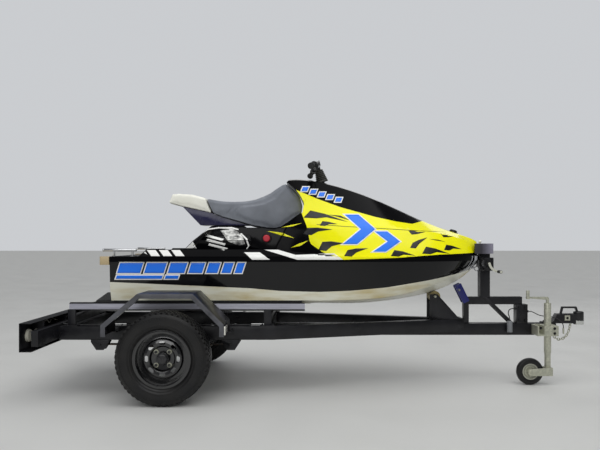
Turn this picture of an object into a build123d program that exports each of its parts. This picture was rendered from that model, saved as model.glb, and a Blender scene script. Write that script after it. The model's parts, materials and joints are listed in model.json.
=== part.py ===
from build123d import *
import math
import os

os.makedirs("parts", exist_ok=True)

# Frame: +X to the bow, +Y to port, +Z up, origin on the floor below the middle of the whole.
# All sizes are millimetres.

# Clearances
SOFT_GAP = 0.3  # a soft piece to what it lies on
PIN_GAP = 0.05  # radial, a turning pin in its hole
SLIDE_GAP = 0.1  # radial, the jockey leg in its tube
TURN_GAP = 5.0  # a turning piece to the cheeks beside it

# Hull, below the joint of the two mouldings
STERN_X = -1413.0
PRISM_X = -100.0
KEEL_Z = 558.0
CHINE_Z = 615.0
JOINT_Z = 870.0
HALF_BEAM = 440.0
CHINE_SHARE = 0.909

# columns: x, keel z, chine y, chine z, knuckle y, knuckle z, half beam; the ys as shares of HALF_BEAM
HULL_SECTIONS = [
    (PRISM_X, KEEL_Z, CHINE_SHARE, CHINE_Z, 0.973, 700, 1.0),
    (75, KEEL_Z, CHINE_SHARE, CHINE_Z + 1, 0.973, 696, 1.0),
    (250, KEEL_Z + 1, 0.891, 622, 0.964, 692, 0.991),
    (550, 591, 0.761, 660, 0.868, 718, 0.914),
    (800, 648, 0.545, 728, 0.67, 775, 0.745),
    (960, 722, 0.33, 790, 0.432, 822, 0.518),
    (1060, 800, 0.141, 838, 0.205, 852, 0.268),
    (1100, 846, 0.027, 858, 0.05, 863, 0.077),
]
STRAKE_Y, STRAKE_W, STRAKE_DEEP = 92.0, 22.0, 8.0

# Deck, footwells, gunwales and the rubber band
DECK_T = 35.0
DECK_TOP = JOINT_Z + DECK_T
BUMPER_T, BUMPER_H = 12.0, 30.0
FOOTWELL_IN, FOOTWELL_OUT = 292.0, HALF_BEAM - 38.0
FOOTWELL_FRONT = -290.0
FOOTWELL_FLOOR = 850.0
TUB_T = 10.0
GUNWALE_TOP = DECK_TOP + 45.0
GUNWALE_LEAN, GUNWALE_FOOT = 24.0, 3.0
GUNWALE_REAR, GUNWALE_FLAT, GUNWALE_FRONT = -1225.0, -330.0, 60.0

# columns: x, half width at the deck, shoulder y, shoulder z, crease y, crease drop, top z;
# the ys as shares of HALF_BEAM
HOOD_SECTIONS = [
    (-360, 0.595, 0.536, 1098, 0.341, 18, 1420),
    (-60, 0.784, 0.66, 1112, 0.30, 17, 1436),
    (200, 0.925, 0.745, 1104, 0.268, 15, 1367),
    (560, 0.864, 0.655, 1082, 0.227, 12, 1216),
    (830, 0.673, 0.47, 1050, 0.186, 9, 1101),
    (1000, 0.405, 0.27, 1006, 0.127, 7, 1046),
    (1095, 0.091, 0.06, 968, 0.041, 3, 1003),
]
FLANK_BULGE = 5.0

# Side pods between hood and tail, with a recessed panel ahead of them
POD_REAR, POD_FRONT = -985.0, -502.0
POD_TOP = 1117.0
POD_SHOULDER_Z = 1010.0
POD_DECK_Y, POD_SHOULDER_Y, POD_TOP_Y = 278.0, 286.0, 122.0
PANEL_HALF = 226.0
PANEL_TOP_X = -262.0
PANEL_TOP = 1098.0
KNOB_X, KNOB_Z, KNOB_R, KNOB_OUT = -402.0, 1024.0, 24.0, 26.0
POD_LIP = ((-898, 942), (-788, 1076))  # ends of the crescent lip at the pod's rear
POD_LIP_BACK, POD_LIP_FRONT = (-872, 1020), (-850, 1008)

# Saddle, tail and base, side view outlines as x, z
SADDLE_HALF = 128.0
SADDLE_TOP = [(-840, 1309), (-722, 1288), (-601, 1285), (-464, 1311), (-358, 1365)]
SADDLE_NOSE = [(-273, 1418), (-198, 1357), (-146, 1264), (-156, 1202)]
SADDLE_UNDER = [(-239, 1140), (-301, 1098), (-353, 1085), (-426, 1093), (-508, 1108), (-612, 1140), (-718, 1171)]
SADDLE_REAR = (-794, 1202)
SADDLE_EDGE = 24.0
TAIL_HALF = 112.0
TAIL_OUTLINE = [(-842, 1309), (-796, 1202), (-985, 1243), (-1105, 1274), (-1078, 1336), (-1027, 1340), (-934, 1334)]
TAIL_EDGE = 14.0
BASE_HALF = 105.0
BASE_TIP = (-1000.0, 1246.0)
BASE_REAR, BASE_FRONT = -876.0, -540.0

# Engine bay
BAY_REAR, BAY_FRONT, BAY_HALF = -780.0, -380.0, 85.0
ENGINE_LOW, ENGINE_H = 700.0, 300.0
ENGINE_GAP = 5.0

# Stern fittings
STERN_RAIL_R, STERN_RAIL_LONG, STERN_RAIL_UP = 9.0, 220.0, 42.0
STERN_POST_R, STERN_POST_X = 7.0, (-1390.0, -1270.0)
STERN_RAIL_Y = HALF_BEAM - 22.0
CORNER_LONG, CORNER_W, CORNER_H = 64.0, 57.0, 54.0

# Jet pump, nozzle and impeller
PUMP_Z = 655.0
PUMP_BORE = 71.0
PUMP_WALL = 8.0
PUMP_FRONT, PUMP_REAR = -1190.0, -1385.0
PUMP_FLANGE = 12.0
WELL_HALF = 112.0
WELL_FRONT = -1000.0
WELL_TOP = 760.0
EAR_W, EAR_LONG = 28.0, 30.0
NOZZLE_R, NOZZLE_BORE, NOZZLE_LONG = 52.0, 44.0, 110.0
NOZZLE_BOSS_R, NOZZLE_PIN_R = 12.0, 5.0
SHAFT_R = 12.0
BLADES = 3
BLADE_LONG, BLADE_T, BLADE_TWIST = 50.0, 6.0, 35.0
IMPELLER_HUB_R, IMPELLER_LONG = 24.0, 70.0
GRATE_BARS, GRATE_W, GRATE_LONG = 5, 8.0, 130.0
PLATE_LOW, PLATE_T = 562.0, 6.0

# Steering
COLUMN_FOOT = (-5.0, 0.0, 1400.0)
COLUMN_LEAN = 17.0
COLUMN_R, COLUMN_LONG = 16.0, 167.0
CLAMP_LONG, CLAMP_WIDE, CLAMP_H = 46.0, 70.0, 34.0
BAR_R = 11.0
BAR_HALF, BAR_BACK, BAR_DROP = 330.0, 45.0, 50.0
BAR_BEND_Y, BAR_BEND_R = 90.0, 60.0
GRIP_R, GRIP_LONG = 16.0, 120.0
FLANGE_OUT, FLANGE_LONG = 7.0, 6.0

# Wheels and axle
TYRE_R = 289.0
TYRE_W = 165.0
TYRE_BELLY_R = 232.0
TREAD_EDGE, TREAD_DROP = 14.0, 16.0
CROWN_EDGE, CROWN_DROP = 24.0, 3.0
RIM_R = 165.0
RIM_W = 142.0
FLANGE_R = 178.0
RIM_T = 6.0
DISC_T = 5.0
# columns: radius, distance outboard of the wheel's middle plane
DISC_LINE = [(34, 23), (70, 23), (80, 38), (100, 42), (118, 36), (126, 17)]
DISC_EDGE = 13.0
VENTS, VENT_R, VENT_LONG, VENT_W = 8, 97.0, 38.0, 20.0
LUGS, LUG_R, NUT_R, NUT_H = 4, 57.15, 9.5, 14.0
STUD_R = 6.0
STUB_R = 17.5
HUB_CAP_R, HUB_CAP_OUT = 33.5, 62.0
AXLE_X = -1007.0
AXLE_Z = TYRE_R
WHEEL_Y = 750.0 - TYRE_W / 2
AXLE_BAR = 45.0

# Chassis
RAIL_LOW = 360.0
RAIL_H = 88.0
RAIL_TOP = RAIL_LOW + RAIL_H
RAIL_W = 50.0
RAIL_OUT = 430.0
FRAME_REAR = -1746.0
BEND_X = -350.0
LEG_TIP_X = 1000.0
CROSS_T = 50.0
CROSS_X = (-1675.0, -385.0)
DRAWBAR_W = 75.0
DRAWBAR_LOW, DRAWBAR_H = 333.0, 82.0
DRAWBAR_TOP = DRAWBAR_LOW + DRAWBAR_H
DRAWBAR_END = 1660.0
BEAM_T = 42.0
BEAM_LOW = 368.0
BEAM_H = 96.0
HALF_WIDTH = 750.0
REAR_END = -1872.0

# Light channel and lamps
CHANNEL_LOW = 335.0
CHANNEL_H = 174.0
SHEET = 3.0
RIB_Y = (-560, -200, 200, 560)
LENS_T = 10.0
LAMP_Y, LAMP_W, LAMP_H, LAMP_CORNER = 640.0, 150.0, 80.0, 8.0

# Springs
SPRING_Y = RAIL_OUT - RAIL_W / 2
LEAF_W, LEAF_T, LEAVES = 45.0, 7.0, 3
EYE_FRONT_X, EYE_REAR_X = -622.0, -1478.0
SPRING_EYE_R, SPRING_PIN_R = 16.0, 8.0
HANGER_T, HANGER_LONG, HANGER_LOW = 6.0, 118.0, 294.0
SADDLE_PLATE_LONG, SADDLE_PLATE_T, BOLT_R = 110.0, 8.0, 5.0

# Wheel guards
GUARD_LINE = [(-1367, 428), (-1367, 497), (-1150, 684), (-816, 684), (-630, 500), (-630, 428)]
GUARD_IN, GUARD_OUT = 467.0, 755.0
GUARD_T, GUARD_LIP = 3.0, 25.0
STAY_W, STAY_T, STAY_OVER = 50.0, 6.0, 60.0
REFLECTOR_W, REFLECTOR_LOW, REFLECTOR_H, REFLECTOR_T = 34.0, 438.0, 52.0, 8.0

# Bunks
BOARD_IN = 120.0
BOARD_REAR, BOARD_FRONT = -1690.0, -140.0
PAD_REAR, PAD_FRONT = -1398.0, -160.0
PAD_T = 15.0
BOARD_T = 46.0
HOOP_LONG = 50.0
HOOP_T = 20.0
HOOP_BAR = 40.0

# Keel roller
ROLLER_X = 789.0
ROLLER_R, ROLLER_END_R = 32.0, 39.0
ROLLER_HALF = 50.0
CHEEK_T = 6.0
CHEEK_BACK, CHEEK_FRONT, CHEEK_OVER = 38.0, 200.0, 16.0
ROLLER_PIN_R = 8.0

# Winch stand, keel guide and bow stop
POST_X, POST_LONG, POST_HALF = 1152.0, 70.0, 35.0
BASE_X, BASE_END, STAND_HALF = 1002.0, 1421.0, 25.0
STAND_LEG = 36.0
WINCH_BASE_LOW, WINCH_BASE_H = 551.0, 54.0
WINCH_BASE_TOP = WINCH_BASE_LOW + WINCH_BASE_H
BRACE_FOOT_X, BRACE_W = 1330.0, 16.0
STOP_LOW, STOP_H = 916.0, 72.0
STOP_NOSE, STOP_MOUTH, STOP_HALF, STOP_WALL = 1205.0, 1053.0, 130.0, 16.0
GUIDE_T, GUIDE_W = 8.0, 48.0
GUIDE_TOP, GUIDE_FOOT = (962.0, 684.0), (1014.0, 578.0)
GUIDE_PIN = (967.0, 655.0)
EYE_X, EYE_Z, EYE_R, EYE_T = 1098.0, 806.0, 11.0, 10.0
EYE_RING = 8.0

# Winch
WINCH_Z = 848.0
DRUM_R, DRUM_HALF = 30.0, 24.0
DRUM_Y = -78.0
CHEEK_GAP = DRUM_HALF + TURN_GAP
WINCH_CHEEK_T, WINCH_BACK, WINCH_AHEAD, WINCH_DOWN, WINCH_UP = 4.0, 30.0, 38.0, 52.0, 40.0
WINCH_SHAFT_R = 7.0
CRANK_LONG, CRANK_OUT, CRANK_W, CRANK_T, CRANK_DROP = 60.0, 42.0, 16.0, 6.0, 56.0
HANDLE_R, HANDLE_LONG = 9.0, 70.0
STRAP_W, STRAP_T = 30.0, 3.0

# Jockey wheel
JOCKEY_X, JOCKEY_Y = 1562.0, -130.0
TUBE_R, TUBE_BORE = 24.0, 21.0
TUBE_LOW, TUBE_TOP = 222.0, 571.0
TUBE_CAP = 12.0
LEG_R = TUBE_BORE - SLIDE_GAP
LEG_LOW, LEG_TOP = 122.5, 450.0
CLAMP_LOW, CLAMP_TALL = 343.0, 70.0
CLAMP_BACK, CLAMP_FRONT, CLAMP_LIP = 80.0, 66.0, 9.0
ARM_LONG, ARM_W = 150.0, 16.0
KNOB_LONG = 60.0
JOCKEY_R, JOCKEY_W = 93.0, 50.0
JOCKEY_RIM_R = 56.0
TRAIL = 126.0
JOCKEY_PIN_R = 8.0
SWIVEL_PIN_R, SWIVEL_PIN_LONG = 12.0, 44.0
FORK_T, FORK_LOW, FORK_TOP = 6.0, 66.0, 122.0

# Coupling
BALL_R, SOCKET_X, SOCKET_OUT, SOCKET_DEEP = 25.4, 1836.0, 36.0, 48.0
SOCKET_LOW, SOCKET_H, SOCKET_DOME = 406.0, 92.0, 16.0
NECK_HALF, NECK_H = 30.0, 66.0
TONGUE_LONG, TONGUE_T = 95.0, 10.0
LEVER_W, LEVER_UP, LEVER_T = 16.0, 52.0, 12.0

# Front support with its two cords
BOX_X, BOX_LONG, BOX_HALF = 1417.5, 79.0, 35.0
GLAND_R = 8.0
PIGTAIL_R, PLUG_R, PLUG_LONG = 3.5, 19.0, 79.0
PIGTAIL_ROUTE = [
    (1364, -15, 520),
    (1342, -15, 520),
    (1322, -27, 507),
    (1314, -46, 484),
    (1320, -60, 460),
    (1320, -60, 436),
]
CABLE_R = 3.0
CLIP_R, CLIP_LONG = 6.0, 42.0
CABLE_ROUTE = [
    (1469, -12, 500),
    (1491, -12, 500),
    (1517, -17, 486),
    (1547, -24, 471),
    (1584, -33, 466),
    (1620, -42, 465),
    (1655, -48, 456),
    (1684, -51, 438),
    (1706, -52, 412),
    (1706, -52, 385),
]

SIDES = ((-1, "right"), (1, "left"))


def block(x, y, z, mode=Mode.ADD):
    """A box in the open part, between two ends given along each axis, in either order."""
    spans = [sorted(span) for span in (x, y, z)]
    with Locations(tuple((low + high) / 2 for low, high in spans)):
        Box(*(high - low for low, high in spans), mode=mode)


def rod(radius, length, at, along, mode=Mode.ADD):
    """A round bar in the open part, from a point along a direction."""
    with Locations(Plane(origin=at, z_dir=along).location):
        Cylinder(radius, length, align=(Align.CENTER, Align.CENTER, Align.MIN), mode=mode)


def across(y):
    """The plane of a side view at one y; an extrusion from it goes to lower y."""
    return Plane.XZ.offset(-y)


def prism(plane, points, length, mode=Mode.ADD):
    """A closed outline on a plane, extruded along the plane's normal in the open part."""
    with BuildSketch(plane, mode=Mode.PRIVATE) as outline:
        with BuildLine():
            Polyline(*points, close=True)
        make_face()
    extrude(outline.sketch, amount=length, mode=mode)


def save(part, name):
    part.part.label = name
    export_step(part.part, f"parts/{name}.step")


def hull_bottom(y):
    """Height of the straight part of the hull's bottom at one y."""
    return KEEL_Z + (CHINE_Z - KEEL_Z) * y / (CHINE_SHARE * HALF_BEAM)


def hull_section(keel_z, chine_y, chine_z, knuckle_y, knuckle_z, half):
    """One frame of the hull, in y and z, from the shares of its table row."""
    right = [(chine_y, chine_z), (knuckle_y, knuckle_z), (half, JOINT_Z)]
    right = [(share * HALF_BEAM, z) for share, z in right]
    return [(0, keel_z), *right, *((-y, z) for y, z in reversed(right))]


# Hull: an even stern part, and a loft that closes to the stem
with BuildPart() as hull:
    with BuildSketch(Plane.YZ.offset(STERN_X)):
        with BuildLine():
            Polyline(*hull_section(*HULL_SECTIONS[0][1:]), close=True)
        make_face()
    extrude(amount=PRISM_X - STERN_X)
    for x, *row in HULL_SECTIONS:
        with BuildSketch(Plane.YZ.offset(x)):
            with BuildLine():
                Polyline(*hull_section(*row), close=True)
            make_face()
    loft()
    for side in (-1, 1):
        inner, outer = side * STRAKE_Y, side * (STRAKE_Y + STRAKE_W)
        strake = [
            (inner, hull_bottom(STRAKE_Y) + 1),
            (outer, hull_bottom(STRAKE_Y + STRAKE_W) + 1),
            (outer, hull_bottom(STRAKE_Y)),
            (inner, hull_bottom(STRAKE_Y) - STRAKE_DEEP),
        ]
        prism(Plane.YZ.offset(WELL_FRONT), strake, PRISM_X - WELL_FRONT)
        tub = (side * (FOOTWELL_IN - TUB_T), side * (FOOTWELL_OUT + TUB_T))
        block((STERN_X, FOOTWELL_FRONT + TUB_T), tub, (FOOTWELL_FLOOR - TUB_T, JOINT_Z), Mode.SUBTRACT)
    block((BAY_REAR, BAY_FRONT), (-BAY_HALF, BAY_HALF), (ENGINE_LOW, JOINT_Z), Mode.SUBTRACT)
    block((STERN_X, WELL_FRONT), (-WELL_HALF, WELL_HALF), (0, WELL_TOP), Mode.SUBTRACT)
    rod(SHAFT_R + PIN_GAP, 2 * COLUMN_R, (WELL_FRONT, 0, PUMP_Z), (1, 0, 0), Mode.SUBTRACT)
save(hull, "hull")


def deck_plan(grow):
    """The outline of the deck seen from above, grown outwards by some amount."""
    bow = [(row[0], row[-1] * HALF_BEAM + grow) for row in HULL_SECTIONS]
    bow[-1] = (bow[-1][0] + grow / 2, bow[-1][1])
    with BuildSketch() as plan:
        with BuildLine():
            shore = Spline([(STERN_X, HALF_BEAM + grow), (STERN_X / 2, HALF_BEAM + grow), *bow])
            mirror(shore, about=Plane.XZ)
            Line(shore @ 0, (STERN_X, -HALF_BEAM - grow))
            Line(shore @ 1, (bow[-1][0], -bow[-1][1]))
        make_face()
    return plan.sketch


# Deck: the flange, the footwells as one tub, and a raised gunwale outside each
with BuildPart() as deck:
    with BuildSketch(Plane.XY.offset(JOINT_Z)):
        add(deck_plan(0))
    extrude(amount=GUNWALE_TOP - JOINT_Z)
    deck_end, above_z = HULL_SECTIONS[-1][0] + DECK_T, GUNWALE_TOP + 1
    above_gunwale = [
        (STERN_X - 1, DECK_TOP),
        (GUNWALE_REAR, DECK_TOP),
        (GUNWALE_REAR + GUNWALE_TOP - DECK_TOP, GUNWALE_TOP),
        (GUNWALE_FLAT, GUNWALE_TOP),
        (GUNWALE_FRONT, DECK_TOP),
        (deck_end, DECK_TOP),
        (deck_end, above_z),
        (STERN_X - 1, above_z),
    ]
    prism(across(2 * HALF_BEAM), above_gunwale, 4 * HALF_BEAM, Mode.SUBTRACT)
    block((STERN_X - 1, deck_end), (-FOOTWELL_OUT, FOOTWELL_OUT), (DECK_TOP, above_z), Mode.SUBTRACT)
    for side in (-1, 1):
        lean = [
            (side * (HALF_BEAM - GUNWALE_FOOT), DECK_TOP),
            (side * (HALF_BEAM + BUMPER_T), DECK_TOP),
            (side * (HALF_BEAM + BUMPER_T), above_z),
            (side * (HALF_BEAM - GUNWALE_LEAN), above_z),
        ]
        prism(Plane.YZ.offset(GUNWALE_REAR - 1), lean, GUNWALE_FRONT - GUNWALE_REAR + 2, Mode.SUBTRACT)
        tub = (side * (FOOTWELL_IN - TUB_T), side * (FOOTWELL_OUT + TUB_T))
        well = (side * FOOTWELL_IN, side * FOOTWELL_OUT)
        block((STERN_X, FOOTWELL_FRONT + TUB_T), tub, (FOOTWELL_FLOOR - TUB_T, DECK_TOP))
        block((STERN_X, FOOTWELL_FRONT), well, (FOOTWELL_FLOOR, DECK_TOP), Mode.SUBTRACT)
    block((BAY_REAR, BAY_FRONT), (-BAY_HALF, BAY_HALF), (JOINT_Z, DECK_TOP), Mode.SUBTRACT)
save(deck, "deck")

# Gunwale bumper: a rubber band round the deck's edge
with BuildPart() as bumper:
    for grow, mode in ((BUMPER_T, Mode.ADD), (0, Mode.SUBTRACT)):
        with BuildSketch(Plane.XY.offset(JOINT_Z)):
            add(deck_plan(grow))
        extrude(amount=BUMPER_H, mode=mode)
save(bumper, "gunwale_bumper")


def saddle_side(grow=0):
    """The cushion's outline seen from the side: a sprung top, a full nose and a tucked underside."""
    with BuildSketch(Plane.XZ, mode=Mode.PRIVATE) as outline:
        with BuildLine():
            ThreePointArc(SADDLE_TOP[0], SADDLE_TOP[1], SADDLE_TOP[2])
            ThreePointArc(SADDLE_TOP[2], SADDLE_TOP[3], SADDLE_TOP[4])
            Line(SADDLE_TOP[4], SADDLE_NOSE[0])
            ThreePointArc(SADDLE_NOSE[0], SADDLE_NOSE[1], SADDLE_NOSE[2])
            Polyline(*SADDLE_NOSE[2:], *SADDLE_UNDER, SADDLE_REAR, SADDLE_TOP[0])
        make_face()
        if grow:
            offset(amount=grow)
    return outline.sketch


def tail_side(grow=0):
    """The tail's outline seen from the side."""
    with BuildSketch(Plane.XZ, mode=Mode.PRIVATE) as outline:
        with BuildLine():
            Polyline(*TAIL_OUTLINE, close=True)
        make_face()
        if grow:
            offset(amount=grow)
    return outline.sketch


# Saddle: cushion and tail lift off together, up and back
with BuildPart() as saddle:
    extrude(saddle_side(), amount=SADDLE_HALF, both=True)
    tops = saddle.edges().filter_by(lambda edge: edge.center().Z > SADDLE_TOP[2][1] - 1
                                    and abs(abs(edge.center().Y) - SADDLE_HALF) < 1)
    fillet(tops, radius=SADDLE_EDGE)
save(saddle, "saddle")

with BuildPart() as tail:
    extrude(tail_side(), amount=TAIL_HALF, both=True)
    tops = tail.edges().filter_by(lambda edge: edge.center().Z > TAIL_OUTLINE[3][1] + 25
                                  and abs(abs(edge.center().Y) - TAIL_HALF) < 1
                                  and edge.center().X < TAIL_OUTLINE[0][0])
    fillet(tops, radius=TAIL_EDGE)
save(tail, "saddle_tail")

with BuildPart() as saddle_room:
    extrude(saddle_side(SOFT_GAP), amount=HALF_BEAM, both=True)
    extrude(tail_side(SOFT_GAP), amount=HALF_BEAM, both=True)


def clear_saddle():
    """Takes the room of cushion and tail out of the open part, one after the other."""
    for room in saddle_room.part.solids():
        add(room, mode=Mode.SUBTRACT)



# Hood, from the bow to the saddle
lean = math.radians(COLUMN_LEAN)
column_way = (-math.sin(lean), 0, math.cos(lean))
panel_line = [(HOOD_SECTIONS[0][0], DECK_TOP), (PANEL_TOP_X, PANEL_TOP), (HOOD_SECTIONS[0][0], PANEL_TOP)]
with BuildPart() as hood:
    for x, deck_y, shoulder_y, shoulder_z, crease_y, drop, top_z in HOOD_SECTIONS:
        deck_y, shoulder_y, crease_y = (share * HALF_BEAM for share in (deck_y, shoulder_y, crease_y))
        bulge = FLANK_BULGE * shoulder_y / HALF_BEAM
        with BuildSketch(Plane.YZ.offset(x)):
            with BuildLine():
                for side in (-1, 1):
                    low, shoulder = (side * deck_y, DECK_TOP), (side * shoulder_y, shoulder_z)
                    crease = (side * crease_y, top_z - drop)
                    middle = (side * ((deck_y + shoulder_y) / 2 + bulge), (DECK_TOP + shoulder_z) / 2 + bulge)
                    ThreePointArc(low, middle, shoulder)
                    Line(shoulder, crease)
                Line((-deck_y, DECK_TOP), (deck_y, DECK_TOP))
                ThreePointArc((-crease_y, top_z - drop), (0, top_z), (crease_y, top_z - drop))
            make_face()
    loft()
    above = [
        (POD_REAR, 1500),
        (POD_REAR, 1290),
        SADDLE_TOP[3],
        (SADDLE_NOSE[0][0], 1410),
        (-247, 1439),
        (-247, 1500),
    ]
    prism(across(HALF_BEAM), above, 2 * HALF_BEAM, Mode.SUBTRACT)
    prism(across(HALF_BEAM), panel_line, 2 * HALF_BEAM, Mode.SUBTRACT)
    rod(COLUMN_R + PIN_GAP, COLUMN_LONG, COLUMN_FOOT, column_way, Mode.SUBTRACT)
    block((BAY_REAR, BAY_FRONT), (-BAY_HALF, BAY_HALF), (JOINT_Z, POD_TOP), Mode.SUBTRACT)
    clear_saddle()
save(hood, "hood")

# Side pods: a cover with sloped ends, a lip at the rear and the recessed panel ahead
pod_side = [
    (POD_REAR, DECK_TOP),
    (POD_REAR + 30, DECK_TOP + 45),
    (POD_REAR + 190, POD_TOP - 6),
    (POD_REAR + 215, POD_TOP),
    (POD_FRONT - 84, POD_TOP),
    (POD_FRONT - 30, POD_TOP - 42),
    (POD_FRONT, POD_TOP - 106),
    (POD_FRONT - 8, POD_TOP - 160),
    (POD_FRONT - 26, DECK_TOP),
]
pod_section = [(POD_DECK_Y, DECK_TOP), (POD_SHOULDER_Y, POD_SHOULDER_Z), (POD_TOP_Y, POD_TOP)]
pod_section = pod_section + [(-y, z) for y, z in reversed(pod_section)]
with BuildPart() as pods:
    prism(Plane.YZ.offset(POD_REAR), pod_section, POD_FRONT - POD_REAR)
    prism(across(HALF_BEAM), pod_side, 2 * HALF_BEAM, Mode.INTERSECT)
    for side in (-1, 1):
        lip_out = POD_SHOULDER_Y + 2
        with BuildSketch(across(max(side * PANEL_HALF, side * lip_out))):
            with BuildLine():
                ThreePointArc(POD_LIP[0], POD_LIP_BACK, POD_LIP[1])
                ThreePointArc(POD_LIP[0], POD_LIP_FRONT, POD_LIP[1])
            make_face()
        extrude(amount=lip_out - PANEL_HALF)
    panel = [(POD_FRONT - 90, DECK_TOP), (POD_FRONT - 90, PANEL_TOP), (PANEL_TOP_X, PANEL_TOP),
             (HOOD_SECTIONS[0][0], DECK_TOP)]
    prism(across(PANEL_HALF), panel, 2 * PANEL_HALF)
    clear_saddle()
    block((BAY_REAR, BAY_FRONT), (-BAY_HALF, BAY_HALF), (DECK_TOP, POD_TOP), Mode.SUBTRACT)
save(pods, "side_pods")

# Saddle base, between pods and cushion
with BuildPart() as saddle_base:
    base_side = [BASE_TIP, (BASE_REAR, POD_TOP), (BASE_FRONT, POD_TOP), *SADDLE_UNDER[-2:], SADDLE_REAR]
    prism(across(BASE_HALF), base_side, 2 * BASE_HALF)
    clear_saddle()
    block((BAY_REAR, BAY_FRONT), (-BAY_HALF, BAY_HALF), (POD_TOP, SADDLE_NOSE[0][1]), Mode.SUBTRACT)
save(saddle_base, "saddle_base")

with BuildPart() as engine:
    block(
        (BAY_REAR + ENGINE_GAP, BAY_FRONT - ENGINE_GAP),
        (-BAY_HALF + ENGINE_GAP, BAY_HALF - ENGINE_GAP),
        (ENGINE_LOW, ENGINE_LOW + ENGINE_H),
    )
save(engine, "engine")

# Red knob on the recessed panel's right side
with BuildPart() as knob:
    rod(KNOB_R, KNOB_OUT, (KNOB_X, -PANEL_HALF, KNOB_Z), (0, -1, 0))
    fillet(knob.edges().sort_by(Axis.Y)[0], radius=KNOB_R / 4)
save(knob, "knob")

# Stern rail tubes and corner bumpers
with BuildPart() as stern_rails:
    for side in (-1, 1):
        for x in STERN_POST_X:
            rod(STERN_POST_R, STERN_RAIL_UP, (x, side * STERN_RAIL_Y, DECK_TOP), (0, 0, 1))
        rail_rear = STERN_POST_X[0] - STERN_RAIL_LONG / 3
        rod(STERN_RAIL_R, STERN_RAIL_LONG, (rail_rear, side * STERN_RAIL_Y, DECK_TOP + STERN_RAIL_UP), (1, 0, 0))
save(stern_rails, "stern_rails")

with BuildPart() as stern_corners:
    for side in (-1, 1):
        outer = HALF_BEAM + BUMPER_T
        block((STERN_X - CORNER_LONG, STERN_X), (side * (outer - CORNER_W), side * outer),
              (DECK_TOP - CORNER_H, DECK_TOP))
    fillet(stern_corners.edges().filter_by(Axis.Z).group_by(Axis.X)[0], radius=CORNER_W / 4)
save(stern_corners, "stern_corners")

# Jet pump in its well, with an ear above and below for the nozzle's pins
pump_out = PUMP_BORE + PUMP_WALL
with BuildPart() as jet_pump:
    block((PUMP_FRONT, PUMP_FRONT + PUMP_FLANGE), (-WELL_HALF, WELL_HALF), (PLATE_LOW + PLATE_T + 7, WELL_TOP))
    rod(pump_out, PUMP_FRONT - PUMP_REAR, (PUMP_REAR, 0, PUMP_Z), (1, 0, 0))
    rod(PUMP_BORE, PUMP_FRONT - PUMP_REAR + PUMP_FLANGE, (PUMP_REAR, 0, PUMP_Z), (1, 0, 0), Mode.SUBTRACT)
    for side in (-1, 1):
        ear = (PUMP_Z + side * (PUMP_BORE + 2), PUMP_Z + side * pump_out)
        block((PUMP_REAR - EAR_LONG, PUMP_REAR), (-EAR_W / 2, EAR_W / 2), ear)
        rod(NOZZLE_PIN_R, pump_out - NOZZLE_R - 3, (PUMP_REAR - 20, 0, PUMP_Z + side * pump_out), (0, 0, -side))
save(jet_pump, "jet_pump")

nozzle_end = (PUMP_REAR - TURN_GAP - NOZZLE_LONG, 0, PUMP_Z)
with BuildPart() as nozzle:
    rod(NOZZLE_R, NOZZLE_LONG, nozzle_end, (1, 0, 0))
    for side in (-1, 1):
        rod(NOZZLE_BOSS_R, PUMP_BORE - NOZZLE_R + 1, (PUMP_REAR - 20, 0, PUMP_Z + side * (NOZZLE_R - 2)), (0, 0, side))
        rod(NOZZLE_PIN_R + PIN_GAP, PUMP_BORE - NOZZLE_R + 1,
            (PUMP_REAR - 20, 0, PUMP_Z + side * (NOZZLE_R - 1)), (0, 0, side), Mode.SUBTRACT)
    rod(NOZZLE_BORE, NOZZLE_LONG, nozzle_end, (1, 0, 0), Mode.SUBTRACT)
save(nozzle, "steering_nozzle")

impeller_rear = PUMP_REAR + 55
with BuildPart() as impeller:
    rod(IMPELLER_HUB_R, IMPELLER_LONG, (impeller_rear, 0, PUMP_Z), (1, 0, 0))
    rod(SHAFT_R, WELL_FRONT + 2 * COLUMN_R - 1 - impeller_rear, (impeller_rear, 0, PUMP_Z), (1, 0, 0))
    for turn in range(BLADES):
        angle = math.radians(360 * turn / BLADES)
        root_plane = Plane(
            origin=(impeller_rear + IMPELLER_LONG / 2, 0, PUMP_Z), z_dir=(0, -math.sin(angle), math.cos(angle))
        )
        with BuildSketch(root_plane.offset(IMPELLER_HUB_R - 4)):
            Rectangle(BLADE_LONG, BLADE_T, rotation=BLADE_TWIST)
        extrude(amount=PUMP_BORE - 5 - IMPELLER_HUB_R)
save(impeller, "impeller")

# Ride plate with the intake grate's bars ahead of it
plate_front = WELL_FRONT - GRATE_LONG
with BuildPart() as ride_plate:
    block((STERN_X + 8, plate_front), (-WELL_HALF, WELL_HALF), (PLATE_LOW, PLATE_LOW + PLATE_T))
    block((PUMP_FRONT, PUMP_FRONT + PUMP_FLANGE), (-BLADE_LONG / 2, BLADE_LONG / 2),
          (PLATE_LOW + PLATE_T, PLATE_LOW + PLATE_T + 7))
    for x in (plate_front, WELL_FRONT - 10):
        block((x, x + 10), (-WELL_HALF, WELL_HALF), (PLATE_LOW, PLATE_LOW + 14))
    with Locations((WELL_FRONT - GRATE_LONG / 2, 0, PLATE_LOW + 8)):
        with GridLocations(0, 36, 1, GRATE_BARS):
            Box(GRATE_LONG, GRATE_W, 10)
save(ride_plate, "ride_plate")

# Steering column with its clamp, and the handlebar
foot, way = Vector(*COLUMN_FOOT), Vector(*column_way)
bar_mid = foot + way * COLUMN_LONG
with BuildPart() as column:
    rod(COLUMN_R, COLUMN_LONG - 15, foot + way * 10, column_way)
    with Locations(Plane(origin=bar_mid, z_dir=column_way).location):
        Box(CLAMP_LONG, CLAMP_WIDE, CLAMP_H)
    rod(BAR_R + 0.2, 2 * CLAMP_WIDE, bar_mid - Vector(0, CLAMP_WIDE, 0), (0, 1, 0), Mode.SUBTRACT)
save(column, "steering_column")

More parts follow.
